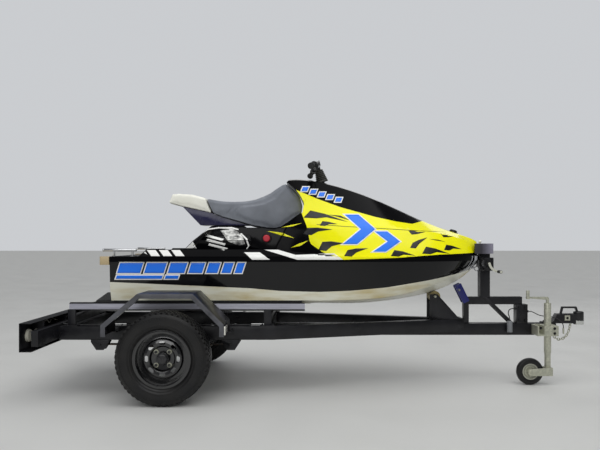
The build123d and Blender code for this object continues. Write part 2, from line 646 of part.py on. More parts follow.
bar_tips = [bar_mid + Vector(-BAR_BACK, side * BAR_HALF, -BAR_DROP) for side in (-1, 1)]
bar_bends = [bar_mid + Vector(0, side * BAR_BEND_Y, 0) for side in (-1, 1)]
with BuildPart() as handlebar:
    with BuildLine():
        FilletPolyline(bar_tips[0], bar_bends[0], bar_bends[1], bar_tips[1], radius=BAR_BEND_R)
    with BuildSketch(Plane(origin=bar_tips[0], z_dir=bar_bends[0] - bar_tips[0])):
        Circle(BAR_R)
    sweep()
save(handlebar, "handlebar")

with BuildPart() as grips:
    for tip, bend in zip(bar_tips, bar_bends):
        inward = (bend - tip).normalized()
        rod(GRIP_R, GRIP_LONG, tip - inward * 4, inward)
        for at in (-4, GRIP_LONG - 4 - FLANGE_LONG):
            rod(GRIP_R + FLANGE_OUT, FLANGE_LONG, tip + inward * at, inward)
        rod(BAR_R, GRIP_LONG, tip, inward, Mode.SUBTRACT)
save(grips, "grips")

# Bow eye: a ring on a plate on the stem
with BuildPart() as bow_eye:
    with BuildSketch(across(EYE_T / 2)):
        with Locations((EYE_X, EYE_Z)):
            Circle(EYE_R + EYE_RING)
            Circle(EYE_R, mode=Mode.SUBTRACT)
        with Locations((EYE_X - 32, EYE_Z + 6)):
            Rectangle(34, 2 * EYE_RING, rotation=-8)
    extrude(amount=EYE_T)
    add(hull.part, mode=Mode.SUBTRACT)
save(bow_eye, "bow_eye")

# Wheels
for side, name in SIDES:
    centre = Vector(AXLE_X, side * WHEEL_Y, AXLE_Z)
    axis = Axis(centre, (0, 1, 0))
    section_plane = Plane(origin=centre, x_dir=(1, 0, 0), z_dir=(0, 0, side))
    with BuildPart() as tyre:
        with BuildSketch(section_plane):
            with BuildLine():
                bead, wall = RIM_W / 2 - RIM_T - SOFT_GAP, TYRE_W / 2
                seat_r, bead_r = RIM_R + PIN_GAP * 4, FLANGE_R + 2
                for half in (-1, 1):
                    shoulder = (TYRE_R - TREAD_DROP, half * (wall - TREAD_EDGE))
                    Polyline((seat_r, 0), (seat_r, half * bead), (bead_r, half * bead))
                    ThreePointArc((bead_r, half * bead), (TYRE_BELLY_R, half * wall), shoulder)
                    Polyline(shoulder, (TYRE_R - CROWN_DROP, half * (wall - CROWN_EDGE)), (TYRE_R, 0))
            make_face()
        revolve(axis=axis)
    save(tyre, f"tyre_{name}")

    with BuildPart() as rim:
        with BuildSketch(section_plane):
            edge, well = RIM_W / 2, RIM_R - RIM_T
            barrel = [(FLANGE_R, edge), (FLANGE_R, edge - RIM_T), (RIM_R, edge - RIM_T), (RIM_R, RIM_T - edge),
                      (FLANGE_R, RIM_T - edge), (FLANGE_R, -edge), (well, -edge), (well, DISC_EDGE)]
            inboard = list(reversed(DISC_LINE))
            outboard = [(radius, out + DISC_T) for radius, out in DISC_LINE]
            with BuildLine():
                Polyline(*barrel, *inboard, *outboard, (well, DISC_EDGE + DISC_T), (well, edge), close=True)
            make_face()
        revolve(axis=axis)
        with BuildSketch(across(max(side * WHEEL_Y, side * (WHEEL_Y + VENT_R)))):
            with Locations((AXLE_X, AXLE_Z)):
                with PolarLocations(VENT_R, VENTS):
                    SlotOverall(VENT_LONG, VENT_W, rotation=90)
                with PolarLocations(LUG_R, LUGS, start_angle=45):
                    Circle(STUD_R + 0.4)
        extrude(amount=VENT_R, mode=Mode.SUBTRACT)
    save(rim, f"rim_{name}")

    with BuildPart() as hub:
        pad = DISC_LINE[0][1]
        with BuildSketch(section_plane):
            with BuildLine():
                Polyline((STUB_R + PIN_GAP, -AXLE_BAR), (42, -AXLE_BAR), (42, 0), (74, 0), (74, pad), (HUB_CAP_R, pad),
                         (HUB_CAP_R, pad + 11), (HUB_CAP_R - 3, HUB_CAP_OUT - 4), (HUB_CAP_R - 11, HUB_CAP_OUT),
                         (0, HUB_CAP_OUT), (0, pad - 1), (STUB_R + PIN_GAP, pad - 1), close=True)
            make_face()
        revolve(axis=axis)
        outward = (0, side, 0)
        for turn in range(LUGS):
            angle = math.radians(45 + 360 * turn / LUGS)
            on_pad = centre + Vector(LUG_R * math.cos(angle), side * pad, LUG_R * math.sin(angle))
            rod(STUD_R, NUT_H + 2 * DISC_T, on_pad - Vector(0, side, 0), outward)
            rod(NUT_R, NUT_H, on_pad + Vector(0, side * DISC_T, 0), outward)
    save(hub, f"hub_{name}")

# Axle: a square bar with a round stub at each end
stub_out = WHEEL_Y + DISC_LINE[0][1] - 7
with BuildPart() as axle:
    with Locations((AXLE_X, 0, AXLE_Z)):
        Box(AXLE_BAR, 2 * (WHEEL_Y - AXLE_BAR - 7), AXLE_BAR)
    rod(STUB_R, 2 * stub_out, (AXLE_X, -stub_out, AXLE_Z), (0, 1, 0))
save(axle, "axle")

# Leaf springs: three leaves a side on the axle, with eyes at the hangers and a bolted plate on top
spring_low = AXLE_Z + AXLE_BAR / 2
spring_top = spring_low + LEAVES * LEAF_T
spring_eye_z = spring_top - LEAF_T / 2
with BuildPart() as springs:
    for side in (-1, 1):
        with BuildSketch(across(side * SPRING_Y + LEAF_W / 2)):
            for leaf in range(LEAVES):
                reach = (leaf + 1) / LEAVES
                rear = AXLE_X + (EYE_REAR_X - AXLE_X) * reach
                front = AXLE_X + (EYE_FRONT_X - AXLE_X) * reach
                with Locations(((rear + front) / 2, spring_low + (leaf + 0.5) * LEAF_T)):
                    Rectangle(front - rear, LEAF_T)
            with Locations((EYE_FRONT_X, spring_eye_z), (EYE_REAR_X, spring_eye_z)):
                Circle(SPRING_EYE_R)
                Circle(SPRING_PIN_R, mode=Mode.SUBTRACT)
        extrude(amount=LEAF_W)
        plate_half = LEAF_W / 2 + 2 * BOLT_R + 4
        middle = side * SPRING_Y
        block((AXLE_X - SADDLE_PLATE_LONG / 2, AXLE_X + SADDLE_PLATE_LONG / 2),
              (middle - plate_half, middle + plate_half), (spring_top, spring_top + SADDLE_PLATE_T))
        for x in (-1, 1):
            for y in (-1, 1):
                bolt = (AXLE_X + x * (AXLE_BAR / 2 + BOLT_R), middle + y * (LEAF_W / 2 + BOLT_R))
                rod(BOLT_R, AXLE_BAR + LEAVES * LEAF_T + SADDLE_PLATE_T + 12, (*bolt, AXLE_Z - AXLE_BAR / 2), (0, 0, 1))
save(springs, "leaf_springs")

# Spring hangers: two cheeks and a pin at each spring's end
with BuildPart() as hangers:
    for side in (-1, 1):
        for eye_x in (EYE_FRONT_X, EYE_REAR_X):
            middle = side * SPRING_Y
            for cheek in (-1, 1):
                inner = middle + cheek * (LEAF_W / 2 + SOFT_GAP)
                half = HANGER_LONG / 2
                shape = [(eye_x - half, RAIL_LOW), (eye_x - half, RAIL_LOW - 14), (eye_x - 24, HANGER_LOW),
                         (eye_x + 24, HANGER_LOW), (eye_x + half, RAIL_LOW - 14), (eye_x + half, RAIL_LOW)]
                prism(across(max(inner, inner + cheek * HANGER_T)), shape, HANGER_T)
            pin_long = LEAF_W + 2 * HANGER_T + 16
            rod(SPRING_PIN_R, pin_long, (eye_x, middle - pin_long / 2, spring_eye_z), (0, 1, 0))
save(hangers, "spring_hangers")

# Side rails: straight beside the boat, then drawn in to the drawbar
leg_slope = (RAIL_OUT - DRAWBAR_W / 2) / (LEG_TIP_X - BEND_X)
leg_width = RAIL_W * math.hypot(1, leg_slope)
inner_bend = BEND_X + (RAIL_W - leg_width) / leg_slope
with BuildPart() as rails:
    for side in (-1, 1):
        outline = [
            (FRAME_REAR, side * RAIL_OUT),
            (BEND_X, side * RAIL_OUT),
            (LEG_TIP_X, side * DRAWBAR_W / 2),
            (LEG_TIP_X - leg_width / leg_slope, side * DRAWBAR_W / 2),
            (inner_bend, side * (RAIL_OUT - RAIL_W)),
            (FRAME_REAR, side * (RAIL_OUT - RAIL_W)),
        ]
        prism(Plane.XY.offset(RAIL_LOW), outline, RAIL_H)
save(rails, "side_rails")

rail_in = RAIL_OUT - RAIL_W
with BuildPart() as crossmembers:
    for x in CROSS_X:
        block((x - CROSS_T / 2, x + CROSS_T / 2), (-rail_in, rail_in), (RAIL_LOW, RAIL_TOP))
    block((FRAME_REAR - BEAM_T, FRAME_REAR), (-HALF_WIDTH, HALF_WIDTH), (BEAM_LOW, BEAM_LOW + BEAM_H))
save(crossmembers, "crossmembers")

with BuildPart() as drawbar:
    block((CROSS_X[1] + CROSS_T / 2, DRAWBAR_END), (-DRAWBAR_W / 2, DRAWBAR_W / 2), (DRAWBAR_LOW, DRAWBAR_TOP))
save(drawbar, "drawbar")

# Light channel: a folded sheet, open to the front, on ribs from the beam
beam_rear = FRAME_REAR - BEAM_T
web_x = REAR_END + LENS_T
with BuildPart() as channel:
    block((web_x, web_x + SHEET), (-HALF_WIDTH, HALF_WIDTH), (CHANNEL_LOW, CHANNEL_LOW + CHANNEL_H))
    for z in (CHANNEL_LOW, CHANNEL_LOW + CHANNEL_H - SHEET):
        block((web_x, beam_rear), (-HALF_WIDTH, HALF_WIDTH), (z, z + SHEET))
    for y in RIB_Y:
        block((web_x + SHEET, beam_rear), (y - SHEET, y + SHEET), (CHANNEL_LOW + SHEET, CHANNEL_LOW + CHANNEL_H - SHEET))
save(channel, "light_channel")

with BuildPart() as lamps:
    for side in (-1, 1):
        with BuildSketch(Plane.YZ.offset(REAR_END)):
            with Locations((side * LAMP_Y, CHANNEL_LOW + CHANNEL_H / 2)):
                RectangleRounded(LAMP_W, LAMP_H, LAMP_CORNER)
        extrude(amount=LENS_T)
save(lamps, "rear_lamps")

# Wheel guards: three facets, turned down at both ends, with a lip along the outer edge
with BuildPart() as guards:
    for side in (-1, 1):
        for width, depth in ((GUARD_OUT - GUARD_IN, GUARD_T), (GUARD_T, -GUARD_LIP)):
            inner = side * (GUARD_OUT - width)
            with BuildSketch(across(max(inner, side * GUARD_OUT))):
                with BuildLine():
                    guard_line = Polyline(*GUARD_LINE)
                    offset(guard_line, amount=abs(depth), side=Side.LEFT if depth > 0 else Side.RIGHT)
                make_face()
            extrude(amount=width)
        for x in (GUARD_LINE[0][0], GUARD_LINE[-1][0]):
            block((x - STAY_W / 2, x + STAY_W / 2), (side * RAIL_OUT, side * (GUARD_IN + STAY_OVER)),
                  (GUARD_LINE[0][1] - STAY_T, GUARD_LINE[0][1]))
save(guards, "wheel_guards")

with BuildPart() as reflectors:
    front = GUARD_LINE[-1][0] + GUARD_T
    for side in (-1, 1):
        outer = side * (GUARD_OUT - 8)
        block((front, front + REFLECTOR_T), (outer, outer - side * REFLECTOR_W),
              (REFLECTOR_LOW, REFLECTOR_LOW + REFLECTOR_H))
save(reflectors, "guard_reflectors")


def board_line(y, down):
    """A point of a bunk's section, so far below the hull's bottom."""
    return hull_bottom(y) - SOFT_GAP - down


# Bunks: boards laid to the hull's bottom, each with a carpet pad, on two hoops
board_out = CHINE_SHARE * HALF_BEAM
for part_name, high, low, rear, front in (
    ("bunk_boards", PAD_T, PAD_T + BOARD_T, BOARD_REAR, BOARD_FRONT),
    ("bunk_pads", 0, PAD_T, PAD_REAR, PAD_FRONT),
):
    with BuildPart() as bunk:
        for side in (-1, 1):
            section = [(side * y, board_line(y, down)) for y, down in
                       ((BOARD_IN, low), (board_out, low), (board_out, high), (BOARD_IN, high))]
            prism(Plane.YZ.offset(rear), section, front - rear)
        if part_name == "bunk_boards":
            ends = bunk.edges().filter_by(Axis.X)
            fillet(ends, radius=PAD_T / 2)
    save(bunk, part_name)

with BuildPart() as hoops:
    bar_top = board_line(BOARD_IN, PAD_T + BOARD_T)
    for x in CROSS_X:
        near = x - HOOP_LONG / 2
        for side in (-1, 1):
            leg = [(side * y, z) for y, z in (
                (rail_in, RAIL_TOP), (rail_in + HOOP_T, RAIL_TOP),
                (rail_in + HOOP_T, board_line(rail_in + HOOP_T, PAD_T + BOARD_T)),
                (rail_in, board_line(rail_in, PAD_T + BOARD_T)))]
            prism(Plane.YZ.offset(near), leg, HOOP_LONG)
        block((near, near + HOOP_LONG), (-rail_in, rail_in), (bar_top - HOOP_BAR, bar_top))
save(hoops, "bunk_hoops")


def keel_height(x):
    hits = hull.part.find_intersection_points(Axis((x, 0, 0), (0, 0, 1)))
    return min(point.Z for point, _ in hits)


# Keel roller, waisted for the keel, on its bracket
keel_slope = math.atan2(keel_height(ROLLER_X) - keel_height(ROLLER_X - 20), 20)
roller_z = keel_height(ROLLER_X) - (ROLLER_R + 0.5) / math.cos(keel_slope)
print("roller centre", round(roller_z, 2))
with BuildPart() as roller:
    roller_mid = (ROLLER_X, 0, roller_z)
    with BuildSketch(Plane(origin=roller_mid, x_dir=(1, 0, 0), z_dir=(0, 0, 1))):
        bore = ROLLER_PIN_R + PIN_GAP
        with BuildLine():
            Polyline((bore, -ROLLER_HALF), (ROLLER_END_R, -ROLLER_HALF), (ROLLER_R, 0), (ROLLER_END_R, ROLLER_HALF),
                     (bore, ROLLER_HALF), close=True)
        make_face()
    revolve(axis=Axis(roller_mid, (0, 1, 0)))
save(roller, "keel_roller")

with BuildPart() as roller_bracket:
    inner = ROLLER_HALF + TURN_GAP
    outer = inner + CHEEK_T
    rear, front = ROLLER_X - CHEEK_BACK, ROLLER_X + CHEEK_FRONT
    cheek = [
        (rear, RAIL_TOP),
        (front, RAIL_TOP),
        (front - CHEEK_BACK, RAIL_TOP + CHEEK_OVER),
        (ROLLER_X + CHEEK_OVER, roller_z + CHEEK_OVER),
        (rear, roller_z + CHEEK_OVER),
    ]
    for side in (-1, 1):
        prism(across(max(side * inner, side * outer)), cheek, CHEEK_T)
    block((rear, front), (-outer, outer), (RAIL_TOP, RAIL_TOP + CHEEK_T))
    rod(ROLLER_PIN_R, 2 * (outer + CHEEK_T), (ROLLER_X, -outer - CHEEK_T, roller_z), (0, 1, 0))
save(roller_bracket, "roller_bracket")

# Winch stand: a base beam on its leg, the post, and a brace each side from the post's foot
with BuildPart() as winch_stand:
    block((BASE_X, BASE_END), (-STAND_HALF, STAND_HALF), (WINCH_BASE_LOW, WINCH_BASE_TOP))
    block((BASE_X, BASE_X + STAND_LEG), (-STAND_HALF, STAND_HALF), (DRAWBAR_TOP, WINCH_BASE_LOW))
    block((POST_X - POST_LONG / 2, POST_X + POST_LONG / 2), (-POST_HALF, POST_HALF), (WINCH_BASE_TOP, STOP_LOW))
    post_front = POST_X + POST_LONG / 2
    for side in (-1, 1):
        near = side * STAND_HALF
        brace = [
            (POST_X - BRACE_W, WINCH_BASE_TOP),
            (POST_X + BRACE_W, WINCH_BASE_TOP),
            (BRACE_FOOT_X + 2 * BRACE_W, DRAWBAR_TOP),
            (BRACE_FOOT_X, DRAWBAR_TOP),
        ]
        prism(across(max(near, near + side * GUIDE_T)), brace, GUIDE_T)
save(winch_stand, "winch_stand")

# Keel guide: two flat bars up from the base beam, with a cross bolt
with BuildPart() as stem_guide:
    top, low = Vector(*GUIDE_TOP), Vector(*GUIDE_FOOT)
    guide_angle = math.degrees(math.atan2(low.Y - top.Y, low.X - top.X))
    for side in (-1, 1):
        near = side * STAND_HALF
        outer = near + side * GUIDE_T
        with BuildSketch(across(max(near, outer))):
            with Locations((top + low) * 0.5):
                RectangleRounded((top - low).length + GUIDE_W / 2, GUIDE_W, GUIDE_T, rotation=guide_angle)
        extrude(amount=GUIDE_T)
    rod(ROLLER_PIN_R, 2 * (STAND_HALF + GUIDE_T) + 16,
        (GUIDE_PIN[0], -STAND_HALF - GUIDE_T - 8, GUIDE_PIN[1]), (0, 1, 0))
save(stem_guide, "stem_guide")

with BuildPart() as bow_stop:
    inner = STOP_HALF - STOP_WALL
    vee_x = POST_X - POST_LONG / 2 + 1
    stop = [(STOP_NOSE, -60), (STOP_NOSE, 60), (STOP_MOUTH + 67, STOP_HALF), (STOP_MOUTH, STOP_HALF),
            (STOP_MOUTH, inner), (vee_x, POST_HALF - 1), (vee_x, 1 - POST_HALF), (STOP_MOUTH, -inner),
            (STOP_MOUTH, -STOP_HALF), (STOP_MOUTH + 67, -STOP_HALF)]
    prism(Plane.XY.offset(STOP_LOW), stop, STOP_H)
    fillet(bow_stop.edges().filter_by(Axis.Z).group_by(Axis.X)[-1], radius=STOP_WALL)
save(bow_stop, "bow_stop")

# Winch: two cheeks on the post's right side, with a drum and crank between
winch_x = (POST_X - WINCH_BACK, POST_X + WINCH_AHEAD)
winch_z = (WINCH_Z - WINCH_DOWN, WINCH_Z + WINCH_UP)
with BuildPart() as winch_frame:
    outer_cheek = DRUM_Y - CHEEK_GAP - WINCH_CHEEK_T
    inner_cheek = DRUM_Y + CHEEK_GAP
    block(winch_x, (outer_cheek, -POST_HALF), (winch_z[0], winch_z[0] + 6))
    block(winch_x, (outer_cheek, outer_cheek + WINCH_CHEEK_T), winch_z)
    block(winch_x, (inner_cheek, -POST_HALF), winch_z)
    rod(WINCH_SHAFT_R + PIN_GAP, 2 * WINCH_CHEEK_T, (POST_X, outer_cheek - 1, WINCH_Z), (0, 1, 0), Mode.SUBTRACT)
    rod(WINCH_SHAFT_R + PIN_GAP, CHEEK_GAP, (POST_X, inner_cheek - 1, WINCH_Z), (0, 1, 0), Mode.SUBTRACT)
save(winch_frame, "winch_frame")

crank_y = DRUM_Y - DRUM_HALF - CRANK_OUT
with BuildPart() as drum:
    rod(WINCH_SHAFT_R, 2 * DRUM_HALF + CRANK_OUT, (POST_X, crank_y + 3, WINCH_Z), (0, 1, 0))
    rod(DRUM_R, 2 * DRUM_HALF, (POST_X, DRUM_Y - DRUM_HALF, WINCH_Z), (0, 1, 0))
    grip_x, grip_z = POST_X + CRANK_LONG, WINCH_Z - CRANK_DROP
    with BuildSketch(across(crank_y + CRANK_T)):
        with BuildLine():
            ThreePointArc((POST_X, WINCH_Z), (POST_X + CRANK_LONG / 3, WINCH_Z - CRANK_DROP * 2 / 3), (grip_x, grip_z))
            offset(amount=CRANK_W / 2)
        make_face()
    extrude(amount=CRANK_T)
    rod(HANDLE_R, HANDLE_LONG, (grip_x, crank_y + 3, grip_z), (0, -1, 0))
save(drum, "winch_drum")

with BuildPart() as strap:
    post_rear = POST_X - POST_LONG / 2
    ring_top = EYE_Z + EYE_R + EYE_RING + SOFT_GAP
    webbing = [(post_rear, WINCH_Z + 32), (post_rear - 7, WINCH_Z + 20), (EYE_X + 8, ring_top), (EYE_X + 2, ring_top),
               (post_rear - 10, WINCH_Z + 21), (post_rear - STRAP_T, WINCH_Z + 36), (post_rear, WINCH_Z + 36)]
    prism(across(STRAP_W / 2), webbing, STRAP_W)
save(strap, "bow_strap")

# Jockey wheel: outer tube with its crank, and the clamp on the drawbar's right side
with BuildPart() as jockey_tube:
    with BuildSketch(Plane.XY.offset(TUBE_LOW)):
        with Locations((JOCKEY_X, JOCKEY_Y)):
            Circle(TUBE_R)
            Circle(TUBE_BORE, mode=Mode.SUBTRACT)
    extrude(amount=TUBE_TOP - TUBE_LOW)
    rod(TUBE_R, TUBE_CAP, (JOCKEY_X, JOCKEY_Y, TUBE_TOP - TUBE_CAP), (0, 0, 1))
    arm_top = TUBE_TOP + 44
    arm = [
        (JOCKEY_X - ARM_W / 2, TUBE_TOP - 1),
        (JOCKEY_X + ARM_W / 2, TUBE_TOP - 1),
        (JOCKEY_X + ARM_W / 2, arm_top - 10),
        (JOCKEY_X, arm_top),
        (JOCKEY_X - ARM_LONG, arm_top),
        (JOCKEY_X - ARM_LONG, arm_top - 10),
        (JOCKEY_X - ARM_W / 2, arm_top - ARM_W - 6),
    ]
    prism(across(JOCKEY_Y + ARM_W / 2), arm, ARM_W)
    rod(KNOB_LONG / 5, KNOB_LONG, (JOCKEY_X - ARM_LONG + 12, JOCKEY_Y, arm_top - 16), (0, 0, 1))
save(jockey_tube, "jockey_tube")

with BuildPart() as jockey_clamp:
    outer = JOCKEY_Y - TUBE_R - CLAMP_LIP
    block((JOCKEY_X - CLAMP_BACK, JOCKEY_X + CLAMP_FRONT), (outer, -DRAWBAR_W / 2), (CLAMP_LOW, CLAMP_LOW + CLAMP_TALL))
    rod(TUBE_R, 2 * CLAMP_TALL, (JOCKEY_X, JOCKEY_Y, CLAMP_LOW - CLAMP_TALL / 2), (0, 0, 1), Mode.SUBTRACT)
    block((JOCKEY_X - CLAMP_BACK + CLAMP_LIP, JOCKEY_X - TUBE_R - CLAMP_LIP), (outer, -DRAWBAR_W / 2 - CLAMP_LIP),
          (CLAMP_LOW + CLAMP_LIP, CLAMP_LOW + CLAMP_TALL + 1), Mode.SUBTRACT)
save(jockey_clamp, "jockey_clamp")

# Inner leg with the pin that the fork turns on
with BuildPart() as jockey_leg:
    rod(LEG_R, LEG_TOP - LEG_LOW, (JOCKEY_X, JOCKEY_Y, LEG_LOW), (0, 0, 1))
    rod(SWIVEL_PIN_R, SWIVEL_PIN_LONG + 1, (JOCKEY_X, JOCKEY_Y, LEG_LOW + 1), (0, 0, -1))
save(jockey_leg, "jockey_leg")

wheel_x = JOCKEY_X - TRAIL
arm_in = JOCKEY_W / 2 + FORK_T
with BuildPart() as fork:
    block((JOCKEY_X - TUBE_R, JOCKEY_X + TUBE_R), (JOCKEY_Y - arm_in - FORK_T, JOCKEY_Y + arm_in + FORK_T),
          (FORK_LOW, FORK_TOP))
    for side in (-1, 1):
        near = JOCKEY_Y + side * arm_in
        cheek = [(wheel_x - 20, JOCKEY_R - 14), (wheel_x - 8, FORK_LOW), (JOCKEY_X, FORK_LOW), (JOCKEY_X, FORK_TOP),
                 (wheel_x + 30, FORK_TOP - 6), (wheel_x - 12, JOCKEY_R + 18), (wheel_x - 20, JOCKEY_R + 8)]
        prism(across(max(near, near + side * FORK_T)), cheek, FORK_T)
    rod(SWIVEL_PIN_R + PIN_GAP, SWIVEL_PIN_LONG + 1, (JOCKEY_X, JOCKEY_Y, FORK_TOP + 1), (0, 0, -1), Mode.SUBTRACT)
    pin_half = arm_in + 2 * FORK_T
    rod(JOCKEY_PIN_R, 2 * pin_half, (wheel_x, JOCKEY_Y - pin_half, JOCKEY_R), (0, 1, 0))
save(fork, "jockey_fork")

wheel_mid = (wheel_x, JOCKEY_Y, JOCKEY_R)
wheel_plane = Plane(origin=wheel_mid, x_dir=(1, 0, 0), z_dir=(0, 0, 1))
with BuildPart() as jockey_rim:
    with BuildSketch(wheel_plane):
        half = JOCKEY_W / 2
        bore = JOCKEY_PIN_R + PIN_GAP
        with BuildLine():
            Polyline((bore, -half), (18, -half), (18, -6), (JOCKEY_RIM_R - 6, -6), (JOCKEY_RIM_R - 6, 4 - half),
                     (JOCKEY_RIM_R, 4 - half), (JOCKEY_RIM_R, half - 4), (JOCKEY_RIM_R - 6, half - 4),
                     (JOCKEY_RIM_R - 6, 6), (18, 6), (18, half), (bore, half), close=True)
        make_face()
    revolve(axis=Axis(wheel_mid, (0, 1, 0)))
save(jockey_rim, "jockey_rim")

with BuildPart() as jockey_tyre:
    with BuildSketch(wheel_plane):
        with BuildLine():
            Polyline((JOCKEY_RIM_R, half - 4), (JOCKEY_RIM_R, 4 - half))
            ThreePointArc((JOCKEY_RIM_R, 4 - half), (JOCKEY_R - 18, -half), (JOCKEY_R - 5, 5 - half))
            ThreePointArc((JOCKEY_R - 5, 5 - half), (JOCKEY_R, 0), (JOCKEY_R - 5, half - 5))
            ThreePointArc((JOCKEY_R - 5, half - 5), (JOCKEY_R - 18, half), (JOCKEY_RIM_R, half - 4))
        make_face()
    revolve(axis=Axis(wheel_mid, (0, 1, 0)))
save(jockey_tyre, "jockey_tyre")

# Coupling: tongue on the drawbar, neck, domed ball socket and lever
with BuildPart() as coupling:
    tongue_rear = DRAWBAR_END - TONGUE_LONG
    block((tongue_rear, DRAWBAR_END + 5), (-NECK_HALF, NECK_HALF), (DRAWBAR_TOP, DRAWBAR_TOP + TONGUE_T))
    neck = [
        (DRAWBAR_END, DRAWBAR_TOP),
        (SOCKET_X, DRAWBAR_TOP),
        (SOCKET_X, SOCKET_LOW + SOCKET_H - SOCKET_DOME),
        (SOCKET_X - SOCKET_OUT, DRAWBAR_TOP + NECK_H),
        (DRAWBAR_END + 12, DRAWBAR_TOP + NECK_H),
        (DRAWBAR_END - 20, DRAWBAR_TOP + TONGUE_T),
        (DRAWBAR_END, DRAWBAR_TOP + TONGUE_T),
    ]
    prism(across(NECK_HALF), neck, 2 * NECK_HALF)
    rod(SOCKET_OUT, SOCKET_H, (SOCKET_X, 0, SOCKET_LOW), (0, 0, 1))
    dome = coupling.edges().filter_by(GeomType.CIRCLE).sort_by(Axis.Z)[-1]
    fillet(dome, radius=SOCKET_DOME * 0.6)
    rod(BALL_R, SOCKET_DEEP, (SOCKET_X, 0, SOCKET_LOW), (0, 0, 1), Mode.SUBTRACT)
    lever_top = DRAWBAR_TOP + NECK_H + LEVER_UP
    lever_rear, lever_front = DRAWBAR_END + 40, SOCKET_X - 4
    lever = [
        (lever_rear, lever_top - LEVER_UP - 4),
        (lever_rear + LEVER_T, lever_top - LEVER_UP - 4),
        (lever_rear + 2 * LEVER_T, lever_top - LEVER_T),
        (lever_front - 2 * LEVER_T, lever_top - LEVER_T),
        (lever_front - LEVER_T, lever_top - 3 * LEVER_T),
        (lever_front, lever_top - 3 * LEVER_T),
        (lever_front - LEVER_T, lever_top),
        (lever_rear + LEVER_T, lever_top),
    ]
    prism(across(LEVER_W / 2), lever, LEVER_W)
save(coupling, "coupling")


def corner_radii(route):
    """Largest even arcs: 0.45 of the shorter run over the tangent of half the turn."""
    points = [Vector(*point) for point in route]
    radii = []
    for before, here, after in zip(points, points[1:], points[2:]):
        turn = (here - before).get_angle(after - here)
        shorter = min((here - before).length, (after - here).length)
        radii.append(0.45 * shorter / math.tan(math.radians(turn / 2)))
    return radii


# The two free cords, each with the piece on its end
for name, route, radius in (("pigtail", PIGTAIL_ROUTE, PIGTAIL_R), ("breakaway_cable", CABLE_ROUTE, CABLE_R)):
    radii = corner_radii(route)
    with BuildPart() as cord:
        with BuildLine():
            path = FilletPolyline(*route, radius=radii)
        with BuildSketch(Plane(origin=route[0], z_dir=Vector(*route[1]) - Vector(*route[0]))):
            Circle(radius)
        sweep(path=path)
    print(name, "length", round(path.length, 1), "radii", [round(r, 1) for r in radii])
    print(name, "volume share", round(cord.part.volume / (math.pi * radius**2 * path.length), 5))
    save(cord, name)

for name, route, radius, length in (("plug", PIGTAIL_ROUTE, PLUG_R, PLUG_LONG), ("cable_clip", CABLE_ROUTE, CLIP_R, CLIP_LONG)):
    with BuildPart() as end:
        rod(radius, length, route[-1], (0, 0, -1))
    save(end, name)

# Front support under the base beam, with a gland for each cord
with BuildPart() as front_support:
    box_rear, box_front = BOX_X - BOX_LONG / 2, BOX_X + BOX_LONG / 2
    block((box_rear, box_front), (-BOX_HALF, BOX_HALF), (DRAWBAR_TOP, WINCH_BASE_LOW))
    rod(GLAND_R, box_rear - PIGTAIL_ROUTE[0][0], PIGTAIL_ROUTE[0], (1, 0, 0))
    rod(GLAND_R, CABLE_ROUTE[0][0] - box_front, (box_front, *CABLE_ROUTE[0][1:]), (1, 0, 0))
save(front_support, "front_support")
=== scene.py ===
import json
import math

import bmesh
import bpy
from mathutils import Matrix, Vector
from mathutils.bvhtree import BVHTree


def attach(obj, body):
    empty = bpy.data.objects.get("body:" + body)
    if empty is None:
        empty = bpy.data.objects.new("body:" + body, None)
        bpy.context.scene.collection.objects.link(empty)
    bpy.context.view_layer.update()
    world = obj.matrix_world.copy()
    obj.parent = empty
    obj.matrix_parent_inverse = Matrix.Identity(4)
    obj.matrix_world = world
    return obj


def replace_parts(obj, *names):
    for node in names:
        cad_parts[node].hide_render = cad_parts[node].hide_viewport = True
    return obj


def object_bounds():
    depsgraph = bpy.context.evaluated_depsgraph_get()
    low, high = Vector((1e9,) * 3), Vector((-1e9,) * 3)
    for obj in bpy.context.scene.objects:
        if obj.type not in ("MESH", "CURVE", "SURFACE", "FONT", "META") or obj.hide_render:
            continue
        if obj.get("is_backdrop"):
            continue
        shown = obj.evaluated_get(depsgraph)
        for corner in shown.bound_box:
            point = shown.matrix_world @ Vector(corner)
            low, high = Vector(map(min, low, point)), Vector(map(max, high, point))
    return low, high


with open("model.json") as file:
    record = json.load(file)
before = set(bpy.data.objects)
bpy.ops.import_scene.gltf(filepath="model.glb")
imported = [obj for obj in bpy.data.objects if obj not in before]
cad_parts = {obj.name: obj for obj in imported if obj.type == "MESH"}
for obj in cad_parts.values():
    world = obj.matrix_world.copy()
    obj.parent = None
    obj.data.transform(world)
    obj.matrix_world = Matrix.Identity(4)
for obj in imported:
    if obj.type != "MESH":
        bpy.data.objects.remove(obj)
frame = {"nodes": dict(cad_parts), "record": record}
cad_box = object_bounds()
nodes = frame["nodes"]
slots = {row["node"]: row["material_slot"] for row in frame["record"]["subparts"]}
scene = bpy.context.scene

MM = 0.001
WELD_GAP = 0.00002
RIGHT, LEFT = SIDES = (-1, 1)
UP, REAR, TO_RIGHT = (0, 0, 1), (-1, 0, 0), (0, -1, 0)


def srgb(text):
    """A #RRGGBB colour as linear red, green, blue and alpha."""
    parts = [int(text[i:i + 2], 16) / 255 for i in (1, 3, 5)]
    return [p / 12.92 if p <= 0.04045 else ((p + 0.055) / 1.055) ** 2.4 for p in parts] + [1.0]


def set_inputs(tree, node, inputs):
    """Gives a node's inputs their values, or links them to other nodes' outputs."""
    for name, value in inputs.items():
        socket = node.inputs[int(name[1:]) if name[1:].isdigit() else name.replace("_", " ")]
        if isinstance(value, bpy.types.NodeSocket):
            tree.links.new(value, socket)
        else:
            socket.default_value = value


